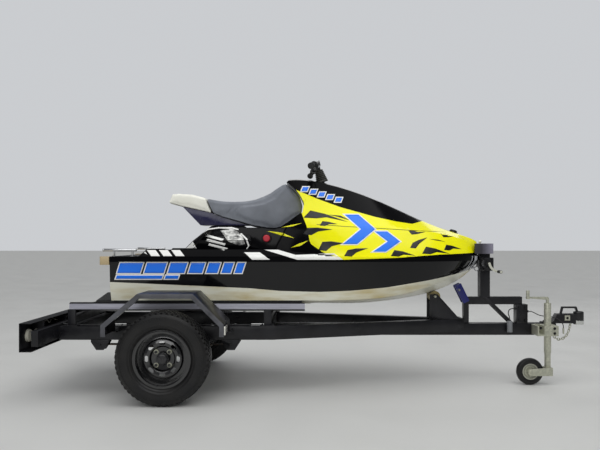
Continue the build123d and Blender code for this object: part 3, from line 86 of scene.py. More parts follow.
def add_node(tree, kind, settings=None, out=0, **inputs):
    """One output of a new node with its settings, and its inputs given as values or as other nodes' outputs."""
    node = tree.nodes.new(kind)
    for name, value in (settings or {}).items():
        setattr(node, name, value)
    set_inputs(tree, node, inputs)
    return node.outputs[out] if node.outputs else None


class Finish:
    """A material in the making, and the patterns that its surface is made of."""

    def __init__(self, name, colour, roughness, **inputs):
        self.material = bpy.data.materials.new(name)
        self.material.use_nodes = True
        self.tree = self.material.node_tree
        self.place = self.add("ShaderNodeTexCoord", out="Object")
        self.give(Base_Color=srgb(colour), Roughness=roughness, **inputs)

    def add(self, kind, settings=None, out=0, **inputs):
        """One output of a new node of this material."""
        return add_node(self.tree, kind, settings, out, **inputs)

    def give(self, **inputs):
        """Sets or links the shader's inputs; a plain value stays beneath the pattern that is linked over it."""
        set_inputs(self.tree, self.tree.nodes["Principled BSDF"], inputs)
        return self.material

    def mottle(self, size_mm, low=0, high=1, detail=4.0, stretch=None):
        """Noise of one grain size in millimetres, drawn out by a stretch and spread between two values."""
        place = self.place
        if stretch:
            place = self.add("ShaderNodeMapping", Vector=place, Scale=stretch)
        noise = self.add("ShaderNodeTexNoise", Vector=place, Scale=1 / (size_mm * MM), Detail=detail)
        return self.add("ShaderNodeMapRange", Value=noise, From_Min=0.3, From_Max=0.7, To_Min=low, To_Max=high)

    def tint(self, factor, first, second):
        """A colour between two, each a hex colour or another tint."""
        first, second = (srgb(colour) if isinstance(colour, str) else colour for colour in (first, second))
        return self.add("ShaderNodeMix", {"data_type": "RGBA"}, out=2, i0=factor, i6=first, i7=second)

    def raised(self, height, strength, height_mm):
        """The lie of a surface that a pattern raises by a height in millimetres."""
        return self.add("ShaderNodeBump", Height=height, Strength=strength, Distance=height_mm * MM)

    def where(self, axis, test, limit, spread=0.0, mirrored=False):
        """1 where a coordinate, or its distance from the middle plane, passes a test against a limit."""
        value = self.add("ShaderNodeSeparateXYZ", out=axis, Vector=self.place)
        if mirrored:
            value = self.add("ShaderNodeMath", {"operation": "ABSOLUTE"}, i0=value)
        return self.add("ShaderNodeMath", {"operation": test}, i0=value, i1=limit, i2=spread)

    def both(self, first, second):
        """1 where two masks are both 1."""
        return self.add("ShaderNodeMath", {"operation": "MULTIPLY"}, i0=first, i1=second)


def shown(name, data):
    """A new object in the scene."""
    made = bpy.data.objects.new(name, data)
    scene.collection.objects.link(made)
    return made


def as_mesh(name, bm):
    """A mesh that takes over the shape of a bmesh."""
    mesh = bpy.data.meshes.new(name)
    bm.to_mesh(mesh)
    bm.free()
    return mesh


def take_in(bm, mesh):
    """Adds a mesh to a bmesh, and lets the mesh go."""
    bm.from_mesh(mesh)
    bpy.data.meshes.remove(mesh)


def settled(obj):
    """The plain mesh that an object's modifiers make."""
    return bpy.data.meshes.new_from_object(obj.evaluated_get(bpy.context.evaluated_depsgraph_get()))


def finish_piece(name, form, slot, body="root", material=None, sharp_deg=30):
    """A new piece from a bmesh or mesh, shaded smooth between its sharp edges, riding on a body."""
    mesh = as_mesh(name, form) if isinstance(form, bmesh.types.BMesh) else form
    mesh.name = name
    mesh.materials.clear()
    mesh.materials.append(material or finish_of(slot))
    for face in mesh.polygons:
        face.material_index = 0
    mesh.shade_smooth()
    mesh.set_sharp_from_angle(angle=math.radians(sharp_deg))
    piece = shown(name, mesh)
    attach(piece, body)
    return piece


def solid_box(bm, low, high, chamfer=0.0):
    """A box between two corners, with its edges cut back."""
    made = bmesh.ops.create_cube(bm, size=1.0)["verts"]
    for vert in made:
        vert.co = Vector([(a + b) / 2 + c * (b - a) for a, b, c in zip(low, high, vert.co)])
    if chamfer:
        edges = list({edge for vert in made for edge in vert.link_edges})
        bmesh.ops.bevel(bm, geom=edges, offset=chamfer, segments=2, profile=0.7, affect="EDGES", clamp_overlap=True)


def join_rings(bm, rings, closed):
    """Faces between neighbouring rings of corners, and from the last to the first where they close."""
    made = []
    for ring, after in zip(rings, rings[1:] + (rings[:1] if closed else [])):
        for k in range(len(ring)):
            k2 = (k + 1) % len(ring)
            made.append(bm.faces.new((ring[k], ring[k2], after[k2], after[k])))
    return made


# A profile's radius in mm where it meets its own axis, so that no face there is without a width
CORE = 0.4


def lathe(bm, profile_mm, centre, axis=(0, 1, 0), steps=48):
    """A closed profile of radius and reach along the axis, in millimetres, turned about it."""
    turn = Vector((0, 0, 1)).rotation_difference(Vector(axis)).to_matrix()
    rings = []
    for step in range(steps):
        angle = 2 * math.pi * step / steps
        ring = [Vector((r * MM * math.cos(angle), r * MM * math.sin(angle), reach * MM)) for r, reach in profile_mm]
        rings.append([bm.verts.new(turn @ point + Vector(centre)) for point in ring])
    bmesh.ops.recalc_face_normals(bm, faces=join_rings(bm, rings, True))


def lathed_piece(name, slot, turns, body="root", **look):
    """A piece made of lathed profiles, each given with its centre, axis and steps."""
    bm = bmesh.new()
    for turn in turns:
        lathe(bm, *turn)
    return finish_piece(name, bm, slot, body, **look)


def tube_along(bm, points, radius, sides=12):
    """A round tube with closed ends through a row of points."""
    rings = []
    side = None
    for k, point in enumerate(points):
        way = (points[min(k + 1, len(points) - 1)] - points[max(k - 1, 0)]).normalized()
        if side is None:
            side = way.orthogonal().normalized()
        side = (side - way * side.dot(way)).normalized()
        up = way.cross(side)
        rings.append([bm.verts.new(point + radius * (math.cos(a) * side + math.sin(a) * up))
                      for a in (2 * math.pi * s / sides for s in range(sides))])
    made = join_rings(bm, rings, False)
    made += [bm.faces.new(list(reversed(rings[0]))), bm.faces.new(rings[-1])]
    bmesh.ops.recalc_face_normals(bm, faces=made)


def soft_curve(name, points, per_run):
    """A NURBS curve that starts and ends with a row of corners."""
    curve = bpy.data.curves.new(name, "CURVE")
    curve.dimensions = "3D"
    curve.resolution_u = per_run
    spline = curve.splines.new("NURBS")
    spline.points.add(len(points) - 1)
    for point, co in zip(spline.points, points):
        point.co = (*co, 1)
    spline.order_u = 3
    spline.use_endpoint_u = True
    return curve


def smooth_path(points, per_run=6):
    """Points on a soft curve."""
    holder = bpy.data.objects.new("path", soft_curve("path", points, per_run))
    mesh = bpy.data.meshes.new_from_object(holder)
    row = [vert.co.copy() for vert in mesh.vertices]
    bpy.data.objects.remove(holder)
    bpy.data.meshes.remove(mesh)
    return row


def node_tree(name, inputs):
    """A Geometry Nodes tree with a geometry in and out, and named inputs for its sizes."""
    tree = bpy.data.node_groups.new(name, "GeometryNodeTree")
    for label, kind in {"Geometry": "Geometry", **inputs}.items():
        tree.interface.new_socket(label, in_out="INPUT", socket_type=f"NodeSocket{kind}")
    tree.interface.new_socket("Geometry", in_out="OUTPUT", socket_type="NodeSocketGeometry")
    return tree, tree.nodes.new("NodeGroupInput").outputs


def close_tree(tree, geometry, given):
    """Real geometry with the given material, at the tree's end."""
    real = add_node(tree, "GeometryNodeRealizeInstances", Geometry=geometry)
    painted = add_node(tree, "GeometryNodeSetMaterial", Geometry=real, Material=given["Material"])
    add_node(tree, "NodeGroupOutput", i0=painted)
    return tree


def repeat_shape(tree, given, points, rotation, **more):
    """The given shape on every point, turned to a rotation."""
    shape = add_node(tree, "GeometryNodeObjectInfo", out="Geometry", Object=given["Shape"])
    return add_node(tree, "GeometryNodeInstanceOnPoints", Points=points, Instance=shape, Rotation=rotation, **more)


def use_tree(obj, name, tree, values):
    """A modifier with a tree and its named inputs."""
    modifier = obj.modifiers.new(name, "NODES")
    modifier.node_group = tree
    for item in tree.interface.items_tree:
        if item.in_out == "INPUT" and item.name in values:
            modifier[item.identifier] = values[item.name]


def grow_mesh(tree, base, slot, **values):
    """The plain mesh that a tree makes from a base mesh, its named inputs and a finish."""
    holder = shown("growing", base or bpy.data.meshes.new("none"))
    use_tree(holder, "grow", tree, {"Material": finish_of(slot), **values})
    mesh = settled(holder)
    bpy.data.objects.remove(holder)
    return mesh


def pattern_object(name, build):
    """A hidden object that a tree repeats."""
    bm = bmesh.new()
    build(bm)
    return bpy.data.objects.new(name, as_mesh(name, bm))


def pattern_box(name, low, high, chamfer=0.0):
    """A hidden box that a tree repeats."""
    return pattern_object(name, lambda bm: solid_box(bm, low, high, chamfer))


def ring_tree():
    """Copies of one shape round a wheel's axle: count, radius, start angle and the wheel's centre."""
    tree, given = node_tree("ring_of_blocks", {"Shape": "Object", "Count": "Int", "Radius": "Float",
                                               "Phase": "Vector", "Centre": "Vector", "Material": "Material"})
    circle = add_node(tree, "GeometryNodeMeshCircle", Vertices=given["Count"], Radius=given["Radius"])
    outward = add_node(tree, "FunctionNodeAlignRotationToVector", {"axis": "X"},
                       Vector=add_node(tree, "GeometryNodeInputPosition"))
    spread = repeat_shape(tree, given, circle, outward)
    turned = add_node(tree, "GeometryNodeTransform", Geometry=spread, Rotation=given["Phase"])
    upright = add_node(tree, "GeometryNodeTransform", Geometry=turned, Translation=given["Centre"],
                       Rotation=(math.radians(90), 0, 0))
    return close_tree(tree, upright, given)


def heads_tree():
    """One shape on each point of the base mesh, standing along the point's stored way."""
    tree, given = node_tree("fastener_heads", {"Shape": "Object", "Size": "Float", "Material": "Material"})
    way = add_node(tree, "GeometryNodeInputNamedAttribute", {"data_type": "FLOAT_VECTOR"}, Name="way")
    stand = add_node(tree, "FunctionNodeAlignRotationToVector", {"axis": "Z"}, Vector=way)
    spread = repeat_shape(tree, given, given["Geometry"], stand, Scale=given["Size"])
    return close_tree(tree, spread, given)


def row_tree():
    """One shape at even steps along the base line, every other one rolled by a set angle."""
    tree, given = node_tree("row_along_line", {"Shape": "Object", "Step": "Float", "Roll": "Float",
                                               "Material": "Material"})
    line = add_node(tree, "GeometryNodeMeshToCurve", Mesh=given["Geometry"])
    even = add_node(tree, "GeometryNodeResampleCurve", {"mode": "LENGTH"}, Curve=line, Length=given["Step"])
    along = add_node(tree, "FunctionNodeAlignRotationToVector", {"axis": "X"},
                     Vector=add_node(tree, "GeometryNodeInputTangent"))
    second = add_node(tree, "ShaderNodeMath", {"operation": "MODULO"}, i0=add_node(tree, "GeometryNodeInputIndex"),
                      i1=2.0)
    angle = add_node(tree, "ShaderNodeMath", {"operation": "MULTIPLY"}, i0=second, i1=given["Roll"])
    roll = add_node(tree, "FunctionNodeAxisAngleToRotation", Axis=(1, 0, 0), Angle=angle)
    turned = add_node(tree, "FunctionNodeRotateRotation", {"rotation_space": "LOCAL"}, i0=along, i1=roll)
    return close_tree(tree, repeat_shape(tree, given, even, turned), given)


def line_mesh(points):
    """A bare line through points, as the base of a row."""
    mesh = bpy.data.meshes.new("line")
    mesh.from_pydata([tuple(point) for point in points], [(k, k + 1) for k in range(len(points) - 1)], [])
    return mesh


def point_mesh(spots):
    """Bare points, each with the way that its head stands."""
    mesh = bpy.data.meshes.new("spots")
    mesh.from_pydata([tuple(at) for at, _ in spots], [], [])
    way = mesh.attributes.new("way", "FLOAT_VECTOR", "POINT")
    for value, (_, direction) in zip(way.data, spots):
        value.vector = direction
    return mesh


# Where the wheel guards' lip begins, and where the ball socket is worn: ahead of an x and below a z
GUARD_LIP_OUT = 0.7515
WORN_X, WORN_Z, WORN_RAGGED = 1.806, 0.436, 0.006
# Where the boards' silver lies, on the flat of their outer face that the light falls on, where the crank starts, and
# how far the bow stop reaches, over which its painted light turns paler
STRIP_OUT, STRIP_Z, STRIP_HALF = 0.3965, 0.5746, 0.0182
CRANK_Y = -0.1275
STOP_X = (1.10, 1.19)
# The part of the side view that the painted lines are drawn on
LINES_X, LINES_Z = (-1.5, 1.2), (0.5, 1.6)
# Where the hull's cream bottom ends and the black side begins, as x and z
WATER_LINE = [(-1.5, 0.740), (-1.41, 0.738), (-0.825, 0.712), (-0.499, 0.697), (-0.303, 0.679), (-0.041, 0.672),
              (0.156, 0.680), (0.40, 0.701), (0.696, 0.745), (1.0, 0.795), (1.2, 0.83)]
# Where the yellow flank ends: at the black top, at the saddle end and along the deck
TOP_LINE = [(-1.5, 1.372), (-0.205, 1.372), (-0.199, 1.361), (-0.049, 1.296), (0.101, 1.239), (0.223, 1.204),
            (0.343, 1.170), (0.484, 1.140), (0.60, 1.124), (0.70, 1.150), (0.74, 1.5), (1.2, 1.55)]
FLANK_LINE = [(-1.5, 1.58), (-0.21, 1.42), (-0.16, 1.19), (-0.125, 1.10), (-0.105, 0.99), (-0.02, 0.93),
              (0.108, 0.884), (0.462, 0.896), (0.767, 0.915), (1.006, 0.922), (1.2, 0.93)]


def past_line(coat, test, points):
    """1 where a point lies past a line drawn on the side view, through points of x and z in metres."""
    x_low, x_high = LINES_X
    z_low, z_high = LINES_Z
    at_x = coat.add("ShaderNodeSeparateXYZ", out="X", Vector=coat.place)
    along = coat.add("ShaderNodeMapRange", Value=at_x, From_Min=x_low, From_Max=x_high)
    line = coat.add("ShaderNodeFloatCurve", Value=along)
    curve = line.node.mapping.curves[0]
    spots = [((x - x_low) / (x_high - x_low), (z - z_low) / (z_high - z_low)) for x, z in points]
    for spot in spots[1:-1]:
        curve.points.new(*spot)
    curve.points[0].location, curve.points[-1].location = (0.0, spots[0][1]), (1.0, spots[-1][1])
    for knot in curve.points:
        knot.handle_type = "VECTOR"
    line.node.mapping.update()
    return coat.where("Z", test, coat.add("ShaderNodeMapRange", Value=line, To_Min=z_low, To_Max=z_high))


def enamel_black():
    """Black enamel brushed on mild steel: soft sheen with slight orange peel and dust on it."""
    coat = Finish("black_enamel_on_steel", "#131316", 0.34, Specular_IOR_Level=0.4)
    return coat.give(Roughness=coat.mottle(60, 0.26, 0.46), Normal=coat.raised(coat.mottle(3), 0.12, 0.3),
                     Base_Color=coat.tint(coat.mottle(140), "#0D0D10", "#1B1B1F"))


def lipped_guard():
    """Wheel guards in black enamel, with the outer lip painted lighter grey as a painted reflection of the pale floor
    it faces.
    """
    coat = Finish("guard_enamel", "#131316", 0.34)
    lip = coat.where("Y", "GREATER_THAN", GUARD_LIP_OUT, mirrored=True)
    black = coat.tint(coat.mottle(140), "#0D0D10", "#1B1B1F")
    # Painted reflection: the outer lip is painted a lighter grey than the black of the rest of the guard.
    lip_reflection = coat.tint(coat.mottle(60), "#3A3A3E", "#505156")
    return coat.give(Roughness=coat.mottle(60, 0.26, 0.46), Normal=coat.raised(coat.mottle(3), 0.12, 0.3),
                     Base_Color=coat.tint(lip, black, lip_reflection))


def rim_enamel():
    """Gloss black stove enamel on pressed steel rims: sharper reflections than the frame's brushed coat."""
    coat = Finish("rim_enamel", "#09090B", 0.22, Coat_Weight=0.9, Coat_Roughness=0.04)
    return coat.give(Roughness=coat.mottle(50, 0.14, 0.3))


def worn_coupling():
    """Coupling in black enamel, rubbed to bare steel along the ragged lower lip of the ball socket."""
    coat = Finish("coupling_enamel", "#131316", 0.34)
    low = coat.where("Z", "LESS_THAN", coat.mottle(12, WORN_Z, WORN_Z - WORN_RAGGED))
    bare = coat.both(low, coat.where("X", "GREATER_THAN", WORN_X))
    return coat.give(Roughness=coat.mottle(60, 0.26, 0.46), Base_Color=coat.tint(bare, "#131316", "#B9BAB6"))


def dark_moulding():
    """Polished black gelcoat on glass fibre: mirror-like with the faintest waviness of the mould."""
    coat = Finish("black_gelcoat", "#060608", 0.12, Specular_IOR_Level=0.14)
    return coat.give(Normal=coat.raised(coat.mottle(180), 0.05, 1.5))


def hull_moulding():
    """Gelcoat in two colours: gloss black sides over a cream bottom with faint tan water stains."""
    coat = Finish("hull_gelcoat", "#DAD9C6", 0.2, Specular_IOR_Level=0.36)
    stain = coat.mottle(260, -0.9, 1.0, 6.0, (0.6, 1.0, 3.0))
    side = past_line(coat, "GREATER_THAN", WATER_LINE)
    gloss = coat.add("ShaderNodeMapRange", Value=side, To_Min=0.34, To_Max=0.09)
    return coat.give(Roughness=gloss, Normal=coat.raised(coat.mottle(160), 0.05, 1.5),
                     Base_Color=coat.tint(side, coat.tint(stain, "#DEDDCC", "#BFB080"), "#060608"))


def flank_moulding():
    """Gelcoat under a printed wrap: fluorescent yellow flanks against a gloss black top and foot."""
    coat = Finish("wrapped_gelcoat", "#F2F000", 0.14)
    yellow = coat.both(past_line(coat, "LESS_THAN", TOP_LINE), past_line(coat, "GREATER_THAN", FLANK_LINE))
    shine = coat.add("ShaderNodeMapRange", Value=yellow, To_Min=0.07, To_Max=0.36)
    shade = coat.tint(coat.mottle(220), "#F0EC00", "#F8F400")
    return coat.give(Specular_IOR_Level=shine, Base_Color=coat.tint(yellow, "#060608", shade),
                     Normal=coat.raised(coat.mottle(180), 0.05, 1.5))


def vinyl_film(name, colour):
    """Cast vinyl film laid on gelcoat: an even, slightly softer gloss than the moulding under it."""
    coat = Finish(name, colour, 0.24)
    return coat.give(Normal=coat.raised(coat.mottle(90), 0.06, 0.6))


def sprayed_film():
    """White film with black spray mist over it: soft clouds of 45 mm, denser toward their edges."""
    coat = Finish("sprayed_film", "#D8D8D4", 0.3)
    return coat.give(Base_Color=coat.tint(coat.mottle(45, -0.35, 1.1, 8.0), "#EDEDE8", "#2A2A2C"))


def rubber(name, colour, grain_mm=2.0, roughness=0.62):
    """Moulded rubber: dull, with a fine pebbled skin and duller patches."""
    coat = Finish(name, colour, roughness)
    return coat.give(Roughness=coat.mottle(40, roughness - 0.1, roughness + 0.12),
                     Normal=coat.raised(coat.mottle(grain_mm, detail=2.0), 0.25, 0.25))


def tyre_rubber():
    """Road tyre rubber: nearly black under a satin dressing, with brown dust in patches."""
    coat = Finish("tyre_rubber", "#141415", 0.5, Coat_Weight=0.14, Coat_Roughness=0.26, Specular_IOR_Level=0.3)
    return coat.give(Roughness=coat.mottle(45, 0.34, 0.52), Normal=coat.raised(coat.mottle(2.5, detail=2.0), 0.3, 0.3),
                     Base_Color=coat.tint(coat.mottle(110), "#0D0D0F", "#1A1918"))


def stainless_tube():
    """Polished stainless steel: bright, with fine drawn lines."""
    coat = Finish("polished_stainless", "#C9CACC", 0.16, Metallic=1.0)
    return coat.give(Roughness=coat.mottle(2, 0.12, 0.26, stretch=(0.05, 1.0, 1.0)))


def zinc_coat():
    """Hot-dip zinc on steel: grey spangles of 9 mm, each with its own dullness."""
    coat = Finish("galvanised_steel", "#C2C3B5", 0.42, Metallic=0.5)
    flake = coat.add("ShaderNodeTexVoronoi", out="Color", Vector=coat.place, Scale=1 / (9 * MM))
    grey = coat.add("ShaderNodeSeparateColor", out="Red", Color=flake)
    rough = coat.add("ShaderNodeMapRange", Value=grey, To_Min=0.32, To_Max=0.56)
    return coat.give(Roughness=rough, Base_Color=coat.tint(grey, "#A9AA9A", "#C4C4B2"),
                     Normal=coat.raised(coat.mottle(5), 0.15, 0.3))


def cast_alloy():
    """Sand-cast aluminium: pale grey with a 1.5 mm sand grain."""
    coat = Finish("cast_aluminium", "#9DA0A3", 0.5, Metallic=0.9)
    return coat.give(Roughness=coat.mottle(25, 0.42, 0.62), Normal=coat.raised(coat.mottle(1.5, detail=2.0), 0.4, 0.4))


def saddle_vinyl(name, low, high):
    """Marine vinyl: pebble grain drawn at 2.4 mm so that it shows, with a slight sheen."""
    coat = Finish(name, low, 0.5, Sheen_Weight=0.15, Specular_IOR_Level=0.3)
    pebble = coat.add("ShaderNodeTexVoronoi", {"feature": "SMOOTH_F1"}, "Distance", Vector=coat.place,
                      Scale=1 / (2.4 * MM))
    return coat.give(Roughness=coat.mottle(70, 0.42, 0.6), Base_Color=coat.tint(coat.mottle(120), low, high),
                     Normal=coat.raised(pebble, 0.25, 0.35))


def pile_carpet():
    """Black marine carpet: loops of 3 mm that catch no light, with grey fluff."""
    coat = Finish("loop_carpet", "#17171A", 0.95, Sheen_Weight=0.06)
    return coat.give(Base_Color=coat.tint(coat.mottle(4), "#0C0C0E", "#1E1E21"),
                     Normal=coat.raised(coat.mottle(3, detail=2.0), 1.0, 2.0))


def silver_board():
    """Bunk boards in dull silver on the flat of their outer face that the light falls on, painted black elsewhere as
    the shade of their rounded edges; the silver is streaked by the roller.
    """
    coat = Finish("silver_board_painted_shade", "#A0A0AC", 0.45)
    streak = (0.04, 1.0, 1.0)
    paint = coat.tint(coat.mottle(9, stretch=streak), "#94949F", "#ADADB8")
    # Painted light: silver only where the outer face is flat and lit, black painted elsewhere as the shade of the
    # rounded edges.
    lit_face = coat.both(coat.where("Y", "GREATER_THAN", STRIP_OUT, mirrored=True),
                      coat.where("Z", "COMPARE", STRIP_Z, STRIP_HALF))
    return coat.give(Roughness=coat.mottle(6, 0.38, 0.56, stretch=streak),
                     Base_Color=coat.tint(lit_face, "#1A1A1C", paint))


def winch_steel():
    """Winch: drum and flanges in black enamel, with a zinc-plated crank outside them."""
    coat = Finish("winch_steel", "#131316", 0.38)
    zinc = coat.tint(coat.mottle(20), "#B4B4A6", "#CECEC0")
    return coat.give(Roughness=coat.mottle(30, 0.34, 0.5),
                     Base_Color=coat.tint(coat.where("Y", "LESS_THAN", CRANK_Y), "#131316", zinc))


def stop_lit_at_front():
    """Moulded bow stop: dark grey with a violet cast, painted paler toward its front edge as painted light where its
    curve turns to the light.
    """
    coat = Finish("bow_stop_rubber", "#3A3842", 0.5)
    at_x = coat.add("ShaderNodeSeparateXYZ", out="X", Vector=coat.place)
    # Painted light: the grey grows paler over the front of the stop, from dark at STOP_X[0] to pale at STOP_X[1].
    lit_toward_front = coat.add("ShaderNodeMapRange", Value=at_x, From_Min=STOP_X[0], From_Max=STOP_X[1])
    return coat.give(Roughness=coat.mottle(25, 0.4, 0.6), Normal=coat.raised(coat.mottle(3, detail=2.0), 0.2, 0.25),
                     Base_Color=coat.tint(lit_toward_front, "#302E36", "#8C8999"))


def woven_strap(name, colour):
    """Polyester webbing: a 2 mm plain weave."""
    coat = Finish(name, colour, 0.8)
    warp, weft = (coat.add("ShaderNodeTexWave", {"bands_direction": axis}, "Fac", Vector=coat.place,
                           Scale=1 / (40 * MM)) for axis in "YZ")
    return coat.give(Normal=coat.raised(coat.both(warp, weft), 0.5, 0.5))


def moulded_plastic(name, colour, roughness=0.38, grain_mm=4.0):
    """Injection-moulded plastic: even colour with a fine sparked texture from the mould."""
    coat = Finish(name, colour, roughness)
    return coat.give(Roughness=coat.mottle(50, roughness - 0.07, roughness + 0.1),
                     Normal=coat.raised(coat.mottle(grain_mm), 0.1, 0.2))


def lamp_lens(name, colour):
    """Clear-coated acrylic lens over a reflector of 6 mm prisms."""
    coat = Finish(name, colour, 0.12, Coat_Weight=1.0, Coat_Roughness=0.03, IOR=1.49)
    cells = coat.add("ShaderNodeTexVoronoi", out="Distance", Vector=coat.place, Scale=1 / (6 * MM), Randomness=0.0)
    return coat.give(Normal=coat.raised(cells, 0.6, 1.0))


def spring_leaf():
    """Oiled spring steel: nearly black with worn brown patches."""
    coat = Finish("oiled_spring_steel", "#26231F", 0.45, Metallic=0.5)
    return coat.give(Roughness=coat.mottle(20, 0.36, 0.6),
                     Base_Color=coat.tint(coat.mottle(30, -0.4, 1), "#1D1C1B", "#4A3626"))


FINISHES = {
    "winch": winch_steel,
    "guard": lipped_guard,
    "worn_coupling": worn_coupling,
    "bow_block": stop_lit_at_front,
    "frame_black": enamel_black,
    "rim_black": rim_enamel,
    "gelcoat_black": dark_moulding,
    "hull": hull_moulding,
    "flank": flank_moulding,
    "flank_rubber": flank_moulding,
    "stainless": stainless_tube,
    "stop_rubber": lambda: rubber("stop_rubber", "#3B3B3D"),
    "bumper_rubber": lambda: rubber("bumper_rubber", "#0E0E10", roughness=0.42),
    "grip_black": lambda: rubber("grip_rubber", "#161617"),
    "tyre": tyre_rubber,
    "strap_grey": lambda: woven_strap("strap_webbing", "#6E6E70"),
    "cable_grey": lambda: rubber("cable_jacket", "#2B2B2D", 6.0, 0.45),
    "bunk_silver": silver_board,
    "carpet": pile_carpet,
    "galvanised": zinc_coat,
    "engine_grey": cast_alloy,
    "pump_alloy": cast_alloy,
    "impeller_steel": stainless_tube,
    "hub_steel": lambda: moulded_plastic("hub_enamel", "#222224", 0.26),
    "reflector": lambda: lamp_lens("clear_reflector", "#E9E7DC"),
    "lens_red": lambda: lamp_lens("red_lens", "#A80F14"),
    "bar_black": lambda: moulded_plastic("powder_coated_tube", "#121214", 0.36, 2.0),
    "jockey_hub": lambda: moulded_plastic("jockey_rim_nylon", "#A6A698", 0.5),
    "roller_tan": lambda: rubber("roller_urethane", "#8F8050", 8.0, 0.45),
    "corner_tan": lambda: rubber("corner_rubber", "#B5A27C", 6.0, 0.5),
    "knob_red": lambda: moulded_plastic("knob_plastic", "#C22A3A", 0.3),
    "plug_grey": lambda: moulded_plastic("plug_housing", "#77797C", 0.45),
    "saddle_grey": lambda: saddle_vinyl("saddle_vinyl", "#6C7077", "#7E828A"),
    "tail_white": lambda: saddle_vinyl("tail_vinyl", "#EBEADD", "#F4F3E8"),
    "base_navy": lambda: moulded_plastic("navy_plastic", "#15153E", 0.22),
    "spring_steel": spring_leaf,
    "guide_blue": lambda: moulded_plastic("blue_painted_steel", "#191E66", 0.34, 6.0),
}
MADE = {}


def finish_of(slot):
    """The material of one finish, made when it is first used."""
    if slot not in MADE:
        MADE[slot] = FINISHES[slot]()
    return MADE[slot]


# Camera: level, at the photograph's distance and height
FOCAL_PX, IMAGE_W, IMAGE_H = 623.0, 600, 450
VANISH_PX = (305.0, 241.0)
EYE = (-0.139, -4.5, 1.006)
FILM_MM = 36.0
camera = shown("camera", bpy.data.cameras.new("camera"))
camera.data.sensor_width = FILM_MM
camera.data.lens = FILM_MM * FOCAL_PX / IMAGE_W
camera.data.shift_x = (IMAGE_W / 2 - VANISH_PX[0]) / IMAGE_W
camera.data.shift_y = -(IMAGE_H / 2 - VANISH_PX[1]) / IMAGE_W
camera.location = EYE
camera.rotation_euler = (math.radians(90), 0, 0)
scene.camera = camera

FLOOR_REACH = 60
LIT_POINT = Vector((0, 0, 0.6))
LAMPS = [("ceiling_panel", (0.2, -1.2, 4.6), (6.0, 3.6), 48), ("front_panel", (-1.5, -6.5, 3.2), (5.0, 2.5), 86),
         ("back_panel", (1.0, 5.5, 3.4), (5.0, 2.5), 40), ("wide_sky", (0.5, -1.5, 6.0), None, 1.0)]
# World strength: plain, and what it gains where the camera sees it and loses in reflections
SKY, SKY_SEEN, SKY_REFLECTED = 0.56, 0.18, -0.36


def stage_room():
    """A pale floor under a pale sky, and soft light from panels above, before and behind the craft."""
    corners = [(x * FLOOR_REACH, y * FLOOR_REACH, 0) for x, y in ((-1, -1), (1, -1), (1, 1), (-1, 1))]
    mesh = bpy.data.meshes.new("floor")
    mesh.from_pydata(corners, [], [(0, 1, 2, 3)])
    paint = Finish("floor_paint", "#C9C9C6", 0.5)
    mesh.materials.append(paint.give(Roughness=paint.mottle(500, 0.42, 0.6)))
    shown("floor", mesh)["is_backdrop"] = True
    world = bpy.data.worlds.new("soft_room")
    world.use_nodes = True
    tree = world.node_tree
    level = SKY
    for ray, gain in (("Is Camera Ray", SKY_SEEN), ("Is Glossy Ray", SKY_REFLECTED)):
        level = add_node(tree, "ShaderNodeMath", {"operation": "MULTIPLY_ADD"}, i1=gain, i2=level,
                         i0=add_node(tree, "ShaderNodeLightPath", out=ray))
    set_inputs(tree, tree.nodes["Background"], {"Color": (0.8, 0.82, 0.85, 1), "Strength": level})
    scene.world = world
    for name, at, size, watts in LAMPS:
        lamp = bpy.data.lights.new(name, "AREA" if size else "SUN")
        lamp.energy = watts
        if size:
            lamp.shape = "RECTANGLE"
            lamp.size, lamp.size_y = size
        else:
            lamp.angle = math.radians(70)
        holder = shown(name, lamp)
        holder.location = at
        holder.rotation_euler = (LIT_POINT - Vector(at)).to_track_quat("-Z", "Y").to_euler()


stage_room()
scene.view_settings.view_transform = "Standard"

# CAD nodes: their finishes, corners joined, edges eased and shading smoothed
NODE_FINISH = {"hull": "hull", "hood": "flank", "deck": "flank", "gunwale_bumper": "flank_rubber",
               "winch_drum": "winch", "bow_stop": "bow_block", "wheel_guards": "guard", "coupling": "worn_coupling"}
PLAIN_EDGES = {"hull", "hood", "gunwale_bumper", "deck", "pigtail", "breakaway_cable"}
EDGE_WIDTH, EDGE_DEG, SMOOTH_DEG = 0.0012, 40, 24


def smoothing_tree():
    """Flat faces stay flat and curved ones turn smooth, by the angle between neighbours."""
    tree, given = node_tree("smooth_by_angle", {"Limit": "Float"})
    soft = add_node(tree, "GeometryNodeSetShadeSmooth", {"domain": "FACE"}, Geometry=given["Geometry"])
    corner = add_node(tree, "GeometryNodeInputMeshEdgeAngle", out="Unsigned Angle")
    flat = add_node(tree, "FunctionNodeCompare", {"data_type": "FLOAT", "operation": "LESS_EQUAL"}, i0=corner,
                    i1=given["Limit"])
    edges = add_node(tree, "GeometryNodeSetShadeSmooth", {"domain": "EDGE"}, Geometry=soft, Shade_Smooth=flat)
    add_node(tree, "NodeGroupOutput", i0=edges)
    return tree


smoothing = smoothing_tree()
for name, piece in nodes.items():
    piece.data.materials.clear()
    piece.data.materials.append(finish_of(NODE_FINISH.get(name, slots[name])))
    weld = piece.modifiers.new("weld", "WELD")
    weld.merge_threshold = WELD_GAP
    if name not in PLAIN_EDGES:
        ease = piece.modifiers.new("ease", "BEVEL")
        ease.width = EDGE_WIDTH
        ease.segments = 2
        ease.limit_method = "ANGLE"
        ease.angle_limit = math.radians(EDGE_DEG)
        ease.use_clamp_overlap = True
    use_tree(piece, "smooth", smoothing, {"Limit": math.radians(SMOOTH_DEG)})


# The two free cords: the electric pigtail with its plug, and the breakaway cable with its clip
PIGTAIL = [(1364, -15, 520), (1342, -15, 520), (1322, -27, 507), (1314, -46, 484), (1320, -60, 460),
           (1320, -60, 436)]
BREAKAWAY = [(1469, -12, 500), (1491, -12, 500), (1517, -17, 486), (1547, -24, 471), (1584, -33, 466),
             (1620, -42, 465), (1655, -48, 456), (1684, -51, 438), (1706, -52, 412), (1706, -52, 385)]


